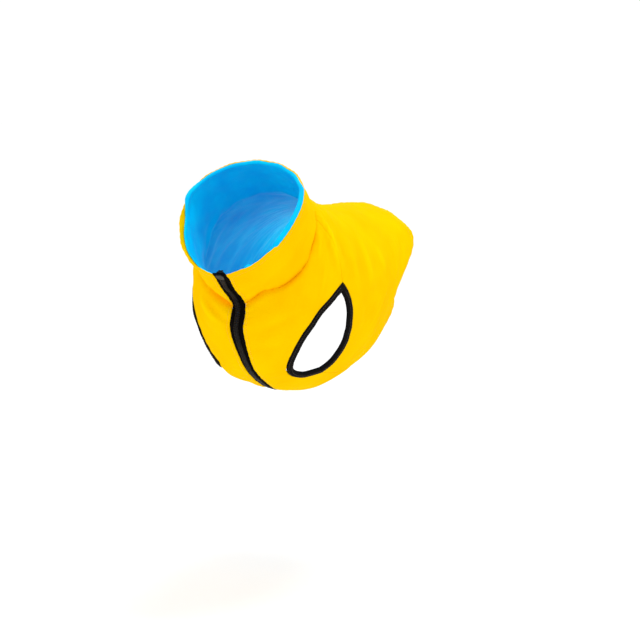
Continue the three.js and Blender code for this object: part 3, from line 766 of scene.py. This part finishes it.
sewing = {
    "seamDrop": 0.3, "seamReach": 3.0, "hemDrop": 1.25, "hemReach": 3.0,
    "topDrop": 1.0, "topReach": 3.5, "zipDrop": 1.2, "zipReach": 3.0,
    "deepestDrop": 1.3,  # where two edges meet
    "hemStitch": 11, "zipStitch": 3.2, "rimStitch": 5,  # from the edge to the row of stitches
    "grooveDepth": 0.35, "grooveWidth": 1.2, "hemGrooveWidth": 1.4,
    "pucker": 0.22, "puckerLength": 8.5,
    "stitchPitch": 3.1, "stitchLength": 2.5, "threadRadius": 0.3, "threadFlatness": 0.8,
    "threadLift": 0.05,
}
stitchPaths = {}  # for each piece, the lines of (points, normals) that it is stitched along


def stitchAlong(name, line, normals, first=0, last=None):
    # keeps part of a line, and the cloth's normals along it, for makeStitches
    stitchPaths.setdefault(name, []).append((line[first:last], normals[first:last]))


def pathAtDistance(points, normals, distance, place):
    # the line across all rows that lies `place` mm in from where each row's distance is 0
    last = distance.shape[1] - 2
    k = np.clip((distance < place).sum(axis=1) - 1, 0, last)
    row = np.arange(len(k))
    share = ((place - distance[row, k]) / (distance[row, k + 1] - distance[row, k]))[:, None]
    line = points[row, k] * (1 - share) + points[row, k + 1] * share
    return line, unit(normals[row, k] * (1 - share) + normals[row, k + 1] * share)


def makeStitches(name, material):
    # a short rod every stitchPitch along each of the piece's paths, lying half in the cloth
    rods = []
    for line, normals in stitchPaths[name]:
        lengths = lengthsAlong(line)
        even = np.arange(sewing["stitchPitch"], lengths[-1] - 1, sewing["stitchPitch"])
        spot, ahead, normal = (
            np.stack([np.interp(at, lengths, values[:, k]) for k in range(3)], -1)
            for at, values in ((even, line), (even + 0.8, line), (even, normals)))
        along = unit(ahead - spot)
        out = squareTo(along, normal)
        rods.append((spot + out * sewing["threadLift"], along, out))
    centres, ways, outs = (np.concatenate(part) for part in zip(*rods))
    return capsules(name + "Stitches", centres, ways, outs, sewing["stitchLength"],
                    sewing["threadRadius"], material, sewing["threadFlatness"])


def puckers(distance, along, reach):
    # short waves square to a sewn edge, of changing length, that die out inwards
    turn = 2 * np.pi / sewing["puckerLength"]
    wave = np.sin(turn * along + 1.7 * np.sin(along / 17) + 0.9 * np.sin(along / 7.3))
    return sewing["pucker"] * wave * np.exp(-((distance / reach) ** 2))


def frontGrid(side):
    # rows run level from the zip and then turn to the panel's outer edge
    zipSection = centreSections(cut["frontApex"])[:, None]
    zipDegrees = zipEdgeDegrees(zipSection, side, lambda d: trimmed(zipSection, d))
    share = evenedShares(cut["frontColumns"])[None, :]
    edgeSection, edgeDegrees = frontEdge[side][:, :1], frontEdge[side][:, 1:]
    lastDegrees = edgeDegrees - halfGapDegrees(edgeSection)
    degrees = zipDegrees + (lastDegrees - zipDegrees) * share
    s = zipSection + (edgeSection - zipSection) * share ** cut["frontTurn"]
    if side < 0:
        s, degrees = s[:, ::-1], 360 - degrees[:, ::-1]
    return trimmed(s, degrees), degrees


def backGrid():
    # rows run from one edge to the other over the back, and bow towards even spacing there
    share = evenedShares(cut["backColumns"])[None, :]
    start, end = (backEdge[side][:, 1:] + halfGapDegrees(backEdge[side][:, :1])
                  for side in (1, -1))
    degrees = start + (360 - end - start) * share
    edgeSection = backEdge[1][:, :1] * (1 - share) + backEdge[-1][:, :1] * share
    bow = 1 - (2 * share - 1) ** 2
    s = edgeSection + (centreSections(cut["backApex"])[:, None] - edgeSection) * bow
    return trimmed(s, degrees), degrees


# 1 for each station whose edge is a seam, and 0 along the armhole
sewnStations = np.ones((stationCount, 1))
sewnStations[cut["shoulderSteps"]:cut["shoulderSteps"] + cut["armholeSteps"] + 1] = 0


def seamDrop(distance):
    # how far a panel sinks towards its seams
    return sewnStations * rolled(distance, sewing["seamDrop"], sewing["seamReach"])


def zipDrop(distance):
    # how far it sinks towards the zip
    return rolled(distance, sewing["zipDrop"], sewing["zipReach"])


def sewnDepths(s, degrees, distances, leftDrop, rightDrop):
    # the outer face sinks towards every sewn edge and the inner face rises to it
    left, right, top, hem = distances
    u, v = clothPlace(s, degrees)
    drop = leftDrop(left) + rightDrop(right) + rolled(top, sewing["topDrop"], sewing["topReach"])
    drop = np.minimum(drop + rolled(hem, sewing["hemDrop"], sewing["hemReach"]),
                      sewing["deepestDrop"])
    groove = bell(hem, sewing["hemStitch"], sewing["hemGrooveWidth"])
    outer = drop + sewing["grooveDepth"] * groove
    waves = puckers(hem, v, 13) + puckers(top, v + 40, 9)
    return outer, cut["wall"] - drop, waves, u


def hemPath(points, normals, hem):
    # the row of stitches above the hem, found on the grid turned on its side
    swapped = [grid[::-1].swapaxes(0, 1) for grid in (points, normals, hem)]
    return pathAtDistance(*swapped, sewing["hemStitch"])


def makeFrontPanel(name, side):
    # frontGrid as a wall of cloth, sunk at its edges, grooved and puckered by its stitches
    s, degrees = frontGrid(side)
    distances = edgeDistances(s, degrees)
    drops = (zipDrop, seamDrop) if side > 0 else (seamDrop, zipDrop)
    outer, inner, waves, u = sewnDepths(s, degrees, distances, *drops)
    byZip, bySeam = distances[:2] if side > 0 else distances[1::-1]
    groove = bell(byZip, sewing["zipStitch"], sewing["grooveWidth"])
    outer = outer + sewing["grooveDepth"] * groove
    shift = 0 if side > 0 else 63  # the two sides don't pucker alike
    waves = waves + puckers(byZip, u + shift, 9) + 0.8 * puckers(bySeam, u + shift + 20, 8)
    points, normals = clothPoint(s, degrees, outer - waves), formNormal(s, degrees)
    stitchAlong(name, *hemPath(points, normals, distances[3]))
    fromZip = [grid[:, ::side] for grid in (points, normals, byZip)]
    stitchAlong(name, *pathAtDistance(*fromZip, sewing["zipStitch"]), first=3)
    return shellPiece(name, s, degrees, outer - waves, inner - waves, [yellowNylon, blueLining])


def makeBackPanel():
    # backGrid as a wall of cloth, in the same way
    s, degrees = backGrid()
    distances = edgeDistances(s, degrees)
    outer, inner, waves, u = sewnDepths(s, degrees, distances, seamDrop, seamDrop)
    left, right = distances[:2]
    waves = waves + 0.8 * puckers(left, u + 20, 8) + 0.8 * puckers(right, u + 83, 8)
    points, normals = clothPoint(s, degrees, outer - waves), formNormal(s, degrees)
    stitchAlong("backPanel", *hemPath(points, normals, distances[3]))
    return shellPiece("backPanel", s, degrees, outer - waves, inner - waves,
                      [yellowNylon, blueLining])


frontPanelLeft = makeFrontPanel("frontPanelLeft", 1)
frontPanelRight = makeFrontPanel("frontPanelRight", -1)
backPanel = makeBackPanel()
print("body panels made")


collar = {
    "rows": 34, "columns": 300, "rowCrowding": 1.15,
    "wall": 2.2, "liningWall": 1.5,
    "topDrop": 0.9, "topReach": 2.6, "seamDrop": 0.8, "edgeDrop": 0.9, "deepestDrop": 1.1,
    "rimGrooveWidth": 1.1,
    # in sections: where the shell's edge lies when bare and when covered, and how deep it waves
    "bareTop": -0.03, "coveredTop": 0.05, "edgeWave": 0.012,
    "throatDip": 0.09, "throatSpread": 24,  # how far the rim dips at the throat, and how widely
    # degrees from the zip, between which the lining comes to cover the shell's edge: at either
    # side, and in patches by the throat, which cover this share of it at most
    "coverLeft": (42, 58), "coverRight": (76, 94), "patches": (13, 20), "patchCover": 0.6,
    "nape": (98, 124), "napeEdge": 0.36,  # where some of the edge shows again, and how much
    # the lining's first rows, close together over the lip, and its even ones below them
    "lipRows": [-0.075, -0.07, -0.055, -0.03, 0.0, 0.025, 0.04, 0.06, 0.09],
    "evenFrom": 0.13, "evenRows": 26,
    "inset": 1.0,  # mm that the lining keeps from the shell's edge beside the zip
    # in sections: where the lip is fully round, turns in behind the shell and thins out
    "lipRound": 0.05, "lipTurns": (0.02, 0.04), "lipThins": (0.16, 0.03),
    # in mm: how deep the lip's outer face, its ridge and its inner face lie
    "lipOuter": 0.35, "lipRidge": 3.0, "lipInner": 5.5,
    "bareThickness": 0.3,  # the lip's share of its thickness where it isn't rolled over
    # how many sections lower the lining's edge lies there, and where its rows are even again
    "hidden": 0.26, "hiddenFades": (0.9, 0.0),
    # the lining goes on past the seam, and between these sections before it sinks to under the
    # body's wall, with this gap in mm
    "liningTail": 0.09, "tailSinks": (-0.25, -0.02), "tailGap": 0.4,
}


def lipCover(degrees):
    # how far the lining rolls over the rim: all the way at the sides, rather less at the nape,
    # only in small patches by the throat, and not at all at the right of the throat
    around = signedDegrees(degrees)
    left = smoothStep(*collar["coverLeft"], around)
    right = smoothStep(*collar["coverRight"], -around)
    nape = collar["napeEdge"] * smoothStep(*collar["nape"], np.abs(around))
    patches = 0.35 + 0.65 * np.sin(around / 2.6 + 0.8) * np.sin(around / 6.1 + 0.4)
    patches = np.clip(patches, 0, 1) * smoothStep(*collar["patches"], around)
    return np.clip(np.maximum(left + right - nape, collar["patchCover"] * patches), 0, 1)


def collarAngles(share, columns, inset=0.0):
    # columns are evenly spaced round each row, from one edge beside the zip to the other
    level = share * form["collarSeam"]
    kept = degreesAtWidth(level, inset)
    start, end = ((zipEdgeDegrees(level, side, lambda d: share * seamAt(d)) + kept)[:, None]
                  for side in (1, -1))
    return start + (360 - end - start) * np.linspace(0, 1, columns + 1)[None, :]


def throatDip(degrees):
    # how far the rim dips by the zip: a bell curve of the angle from it
    return collar["throatDip"] * bell(signedDegrees(degrees), 0, collar["throatSpread"])


def collarBottom(degrees):
    # the collar stops half the gap above its seam
    return seamAt(degrees) - cut["collarGap"] / 2 / cut["neckSpacing"]


def makeCollarShell():
    # rows from the rim to the seam, closer together at the rim, sunk at every edge
    share = np.linspace(0, 1, collar["rows"] + 1) ** collar["rowCrowding"]
    degrees = collarAngles(share, collar["columns"])
    start = collar["bareTop"] + (collar["coveredTop"] - collar["bareTop"]) * lipCover(degrees)
    wave = np.sin(signedDegrees(degrees) / 4.7 + 0.6 * np.sin(degrees / 9))
    start = start + throatDip(degrees) + collar["edgeWave"] * wave
    s = start + (collarBottom(degrees) - start) * share[:, None]
    left, right, top, seam = edgeDistances(s, degrees)
    drop = rolled(top, collar["topDrop"], collar["topReach"])
    drop += rolled(seam, collar["seamDrop"], sewing["seamReach"])
    drop += sum(rolled(edge, collar["edgeDrop"], sewing["zipReach"]) for edge in (left, right))
    drop = np.minimum(drop, collar["deepestDrop"])
    u, v = clothPlace(s, degrees)
    waves = puckers(left, u + 9, 8) + puckers(right, u + 50, 8) + puckers(top, v, 6)
    waves += 0.9 * puckers(seam, v + 33, 7)
    groove = sum(bell(edge, sewing["zipStitch"], sewing["grooveWidth"]) for edge in (left, right))
    groove += 0.7 * bell(top, sewing["rimStitch"], collar["rimGrooveWidth"])
    outer = drop + sewing["grooveDepth"] * groove - waves
    points, normals = clothPoint(s, degrees, outer), formNormal(s, degrees)
    fromRight = [grid[:, ::-1] for grid in (points, normals, right)]
    fromTop = [grid.swapaxes(0, 1) for grid in (points, normals, top)]
    for edge in ([points, normals, left], fromRight):
        stitchAlong("collarShell", *pathAtDistance(*edge, sewing["zipStitch"]), 4, -1)
    stitchAlong("collarShell", *pathAtDistance(*fromTop, sewing["rimStitch"]), 3, -3)
    inner = collar["wall"] - 0.6 * drop - waves * 0.5
    return shellPiece("collarShell", s, degrees, outer, inner, [yellowNylon])


def makeCollarLining():
    # the lining's own rows: over the lip from its outer edge to its top, then down inside
    even = np.linspace(collar["evenFrom"], form["collarSeam"], collar["evenRows"])
    nominal = np.append(collar["lipRows"], even)
    degrees = collarAngles(nominal / form["collarSeam"], collar["columns"], collar["inset"])
    cover = lipCover(degrees)
    # the lip's half section is a quarter circle's curve, from its ridge out to lipOuter and in
    # to lipInner
    t = np.clip((nominal - nominal[0]) / collar["lipRound"], 0, 1)[:, None]
    bulge = np.sqrt(np.clip(1 - (1 - t) ** 2, 0, 1))
    under = smoothStep(*collar["lipTurns"], nominal)[:, None]
    outerFlat = collar["wall"] + cut["seamGap"]
    innerFlat = outerFlat + collar["liningWall"]
    ridge, bare = collar["lipRidge"], collar["bareThickness"]
    shallow = collar["lipOuter"] + (outerFlat - collar["lipOuter"]) * (1 - cover)
    lipOuter = ridge + (shallow - ridge) * bulge
    thick = smoothStep(*collar["lipThins"], nominal)[:, None] * (collar["lipInner"] - innerFlat)
    lipInner = ridge + (innerFlat + thick * (bare + (1 - bare) * cover) - ridge) * bulge
    outer = lipOuter + (outerFlat - lipOuter) * under
    v = degrees * form["degreeSpacing"]
    top, seam = edgeDistances(nominal[:, None] + 0 * degrees, degrees)[2:]
    waves = 0.5 * (puckers(top, v, 7) + 0.5 * puckers(seam, v + 33, 7))
    # where the lip is not rolled over, the lining stays a little below the shell's edge
    hidden = (collar["hidden"] + throatDip(degrees)) * (1 - cover)
    s = nominal[:, None] + hidden * smoothStep(*collar["hiddenFades"], nominal)[:, None]
    # its lower end goes on under the body panels, which closes the seam from inside
    share = np.clip(nominal / form["collarSeam"], 0, 1)[:, None]
    s = s + share * (seamAt(degrees) + collar["liningTail"] - form["collarSeam"])
    tail = smoothStep(*collar["tailSinks"], s - seamAt(degrees))
    tail = tail * (cut["wall"] + collar["tailGap"] - outerFlat)
    return shellPiece("collarLining", s, degrees, outer + tail - waves, lipInner + tail - waves,
                      [blueLining])


collarShell = makeCollarShell()
collarLining = makeCollarLining()
print("collar made")


hemBelowZip = float(hemAt(np.array(0.0)))


def makeTape(name, side):
    # from just beside the middle to just short of the cloth's edge, all the way down
    s = np.linspace(0, hemBelowZip, fastener["tapeRows"])[:, None]
    share = np.linspace(0, 1, fastener["tapeColumns"])[None, :]
    first = fastener["tapeStart"]
    x = first + (zipHalf(s) - cut["seamGap"] - first) * share
    degrees = degreesAtWidth(s, x + side * zipMiddle(s))
    s = np.broadcast_to(s, degrees.shape)
    outer = np.full(s.shape, fastener["tapeOuter"])
    inner = np.full(s.shape, fastener["tapeInner"])
    if side < 0:
        degrees = (360 - degrees)[:, ::-1]
    return shellPiece(name, s, degrees, outer, inner, [blackTape])


def zipPath(topSection, spacing):
    # points along the zip's middle at even distances, with the way along it and out of it
    def middleAt(s):
        return clothPoint(s, degreesAtWidth(s, zipMiddle(s)), 0.0)

    s = np.linspace(topSection, hemBelowZip - fastener["stopsShort"], fastener["samples"])
    lengths = lengthsAlong(middleAt(s))
    place = np.interp(np.arange(0, lengths[-1], spacing), lengths, s)
    middle = middleAt(place)
    along = unit(middleAt(place + 0.01) - middle)
    out = formNormal(place, degreesAtWidth(place, zipMiddle(place)))
    return middle, along, squareTo(along, out)


def makeChain():
    # two rows of coil turns, each a short rod across the tape that leans a little, from its
    # tape's side to just past the middle
    rods = []
    for side in (1, -1):
        middle, along, out = zipPath(fastener["topSection"], fastener["pitch"])
        across = np.cross(along, out) * side
        shift = 0.0 if side > 0 else fastener["pitch"] / 2
        lean = unit(across + fastener["lean"] * along)
        centre = middle + along * shift - out * fastener["sunk"]
        centre = centre + across * (fastener["toothLength"] / 2 - fastener["overlap"])
        rods.append((centre, lean, squareTo(lean, out)))
    centres, ways, outs = (np.concatenate(part) for part in zip(*rods))
    return capsules("zipChain", centres, ways, outs, fastener["toothLength"],
                    fastener["toothRadius"], blackCoil)


tapeLeft, tapeRight = makeTape("zipTapeLeft", 1), makeTape("zipTapeRight", -1)
zipChain = makeChain()
print("zip made")


band = {
    "width": 7.4, "proud": 1.3, "depth": 4.2, "mitre": 16, "sides": 28,
    "squareness": (0.7, 0.8),  # the superellipse's powers across and in height
    "gather": 0.12, "gatherLength": 3.4, "stitchRows": (0.3, 0.76),
}


def bandPath(side):
    # the cloth's cut edge round the armhole, the way across the band and the way out of it. At
    # the armhole's point the two ends of the band meet in a mitre, and the stations near it
    # fan out from there.
    loop = np.vstack([frontLine[side][:-1], rearLine[side][::-1][:-1]])
    s, degrees = loop[:, 0], loop[:, 1] * side
    count = len(s)
    edge = clothPoint(s, degrees, 0.0)
    out = formNormal(s, degrees)
    along = unit(np.roll(edge, -1, axis=0) - np.roll(edge, 1, axis=0))
    inward = unit(np.cross(along, out))
    flip = np.sum(inward * (edge.mean(axis=0) - edge), axis=-1) < 0
    inward[flip] *= -1
    inward *= band["width"]
    toFront, toRear = unit(edge[1] - edge[0]), unit(edge[-1] - edge[0])
    halfAngle = math.acos(float(np.clip(toFront @ toRear, -1, 1))) / 2
    inward[0] = unit(toFront + toRear) * band["width"] / math.sin(halfAngle)
    reach = np.linalg.norm(edge - edge[0], axis=-1)
    for near in (np.arange(1, count // 2), -np.arange(1, count // 2)):
        beyond = np.argmax(reach[near] >= band["mitre"])
        inside, far = near[:beyond], near[beyond]
        share = (reach[inside] / reach[far])[:, None]
        innerTop, innerFar = edge[0] + inward[0], edge[far] + inward[far]
        inward[inside] = innerTop + (innerFar - innerTop) * share - edge[inside]
    return edge, inward, out


def makeBinding(name, side):
    # a superellipse in (share of the width, height over the cloth's outer face), carried round
    # the armhole, from beside the cloth's cut edge into the opening
    edge, inward, out = bandPath(side)
    angle = np.linspace(0, 2 * np.pi, band["sides"], endpoint=False)
    gap = cut["seamGap"] / band["width"]
    middle = (band["proud"] - band["depth"]) / 2
    half = (band["proud"] + band["depth"]) / 2
    wide, high = (np.sign(wave) * np.abs(wave) ** power for wave, power in zip(
        (np.cos(angle), np.sin(angle)), band["squareness"]))
    share = (gap + 1) / 2 - (1 - gap) / 2 * wide
    height = middle + half * high
    lengths = lengthsAlong(edge)
    gather = np.sin(2 * np.pi * lengths / band["gatherLength"] + 1.3 * np.sin(lengths / 11))
    height = height[None, :] + band["gather"] * gather[:, None] * (high > 0)[None, :]
    points = (edge[:, None] + inward[:, None] * share[None, :, None]
              + out[:, None] * height[..., None])
    for place in band["stitchRows"]:
        line = edge + inward * place + out * (band["proud"] - sewing["threadLift"])
        stitchAlong(name, line, out, 2, -1)
    faces = ringFaces(len(edge), band["sides"], closed=True)[:, ::-side]
    girth = angle / (2 * np.pi) * 2 * (band["width"] + band["depth"])
    uv = np.stack(np.broadcast_arrays(girth[None, :], lengths[:, None]), -1).reshape(-1, 2)
    return makePiece(name, points.reshape(-1, 3), faces, [blackElastic], uv=uv)


bindingLeft = makeBinding("armholeBindingLeft", 1)
bindingRight = makeBinding("armholeBindingRight", -1)
print("armhole bindings made")

stitches = {name: makeStitches(name, blackThread if "Binding" in name else yellowThread)
            for name in stitchPaths}
print("stitched:", sum(len(piece.data.polygons) for piece in stitches.values()), "faces")


# Each sheet with the CAD node it stands for, its slot, the rectangle it is cut from, the area
# cut out of that, how it is held and what it is sewn to; in metres, with 10 mm for seams and
# 15 mm for the hem.
sheets = [
    (backPanel, "back_panel", "yellow_nylon", (0.58, 0.32), 0.0880, "draped",
     [frontPanelLeft, frontPanelRight]),
    (frontPanelLeft, "front_panel_left", "yellow_nylon", (0.15, 0.32), 0.0185, "draped",
     [backPanel, tapeLeft]),
    (frontPanelRight, "front_panel_right", "yellow_nylon", (0.15, 0.32), 0.0178, "draped",
     [backPanel, tapeRight]),
    (collarShell, "collar_shell", "yellow_nylon", (0.43, 0.07), 0.0245, "draped",
     [backPanel, frontPanelLeft, frontPanelRight]),
    (collarLining, "collar_lining", "blue_lining", (0.42, 0.08), 0.0260, "draped",
     [collarShell]),
    (tapeLeft, "zip_tape_left", "black_tape", (0.32, 0.011), 0.0021, "hung", [frontPanelLeft]),
    (tapeRight, "zip_tape_right", "black_tape", (0.32, 0.011), 0.0021, "hung", [frontPanelRight]),
    (bindingLeft, "armhole_binding_left", "black_elastic", (0.25, 0.013), None, "stretched",
     [backPanel, frontPanelLeft]),
    (bindingRight, "armhole_binding_right", "black_elastic", (0.25, 0.013), None, "stretched",
     [backPanel, frontPanelRight]),
]
for piece, cadNode, slotName, flat, area, held, sewnTo in sheets:
    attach(piece, "jacket")
    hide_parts(cadNode)
for piece in stitches.values():
    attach(piece, "jacket")
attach(zipChain, "jacket")
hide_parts("zip_chain")
for cadName in ("zip_slider", "zip_pull_tab"):
    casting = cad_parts[cadName]  # right in shape as it is
    casting.data.materials.clear()
    casting.data.materials.append(blackEnamel)


studio = {
    "floorHeight": -0.41, "floorRadius": 30.0, "rings": 24, "spokes": 96, "sky": 1.05,
    "target": (0, -0.03, -0.08),
    # each lamp's place and size in metres and its power in watts
    "lamps": {"keyLight": ((0.5, 0.2, 2.2), 1.0, 18), "fillLight": ((-1.6, -1.4, 0.7), 1.6, 1.5)},
}


def makeFloor():
    # rings of growing radius, all level, from the middle out
    rings, n = studio["rings"], studio["spokes"]
    radius = studio["floorRadius"] * np.linspace(0.02, 1, rings) ** 2
    angle = np.linspace(0, 2 * np.pi, n, endpoint=False)
    points = np.stack([
        radius[:, None] * np.cos(angle), radius[:, None] * np.sin(angle),
        np.full((rings, n), studio["floorHeight"])], -1).reshape(-1, 3)
    faces = ringFaces(rings, n)[:, [0, 3, 2, 1]].tolist() + [list(range(n))]
    # matt white emulsion, rolled on, with a very slight unevenness
    material, tree = newMaterial("whitePaintedFloor")
    finishMaterial(tree, Base_Color=mottle(tree, 300, "#FAFAFA", "#FFFFFF", (0, 1)),
                   Roughness=0.9, Specular_IOR_Level=0.1)
    makePiece("studioFloor", points / toMetres, faces, [material])


def aim(thing, place, towards):
    # puts it at `place` with its -Z axis along the line to `towards`
    thing.location = place
    line = Vector(towards) - Vector(place)
    thing.rotation_mode = "QUATERNION"
    thing.rotation_quaternion = line.to_track_quat("-Z", "Y")


def addLight(name, place, size, power):
    # a round white lamp that faces the jacket
    lamp = bpy.data.lights.new(name, "AREA")
    lamp.shape = "DISK"
    lamp.size = size
    lamp.energy = power
    lampObject = bpy.data.objects.new(name, lamp)
    bpy.context.collection.objects.link(lampObject)
    aim(lampObject, place, studio["target"])


def makeStudio():
    # an even white sky does most of the lighting, and the lamps give it a direction
    makeFloor()
    world = bpy.data.worlds.new("softStudio")
    world.use_nodes = True
    background = world.node_tree.nodes["Background"]
    background.inputs[0].default_value = linear("#FFFFFF")
    background.inputs[1].default_value = studio["sky"]
    bpy.context.scene.world = world
    for name, settings in studio["lamps"].items():
        addLight(name, *settings)
    bpy.context.scene.view_settings.view_transform = "Standard"


camera = {
    "azimuth": 23.699, "elevation": 6.234, "target": (0.0, -0.040, -0.091),
    "distance": 1.92023, "lens": 103.2, "sensor": 36, "shift": (0.059, -0.0362), "reach": 100,
}


def makeCamera():
    # stands off from its target: azimuth is counted from -Y towards +X, elevation from level
    azimuth, elevation = math.radians(camera["azimuth"]), math.radians(camera["elevation"])
    back = np.array([math.sin(azimuth) * math.cos(elevation),
                     -math.cos(azimuth) * math.cos(elevation), math.sin(elevation)])
    lensData = bpy.data.cameras.new("camera")
    lensData.lens = camera["lens"]
    lensData.sensor_width = camera["sensor"]
    lensData.shift_x, lensData.shift_y = camera["shift"]
    lensData.clip_end = camera["reach"]
    view = bpy.data.objects.new("camera", lensData)
    bpy.context.collection.objects.link(view)
    target = np.array(camera["target"])
    aim(view, tuple(target + back * camera["distance"]), tuple(target))
    bpy.context.scene.camera = view


makeStudio()
makeCamera()
print("studio and camera set")
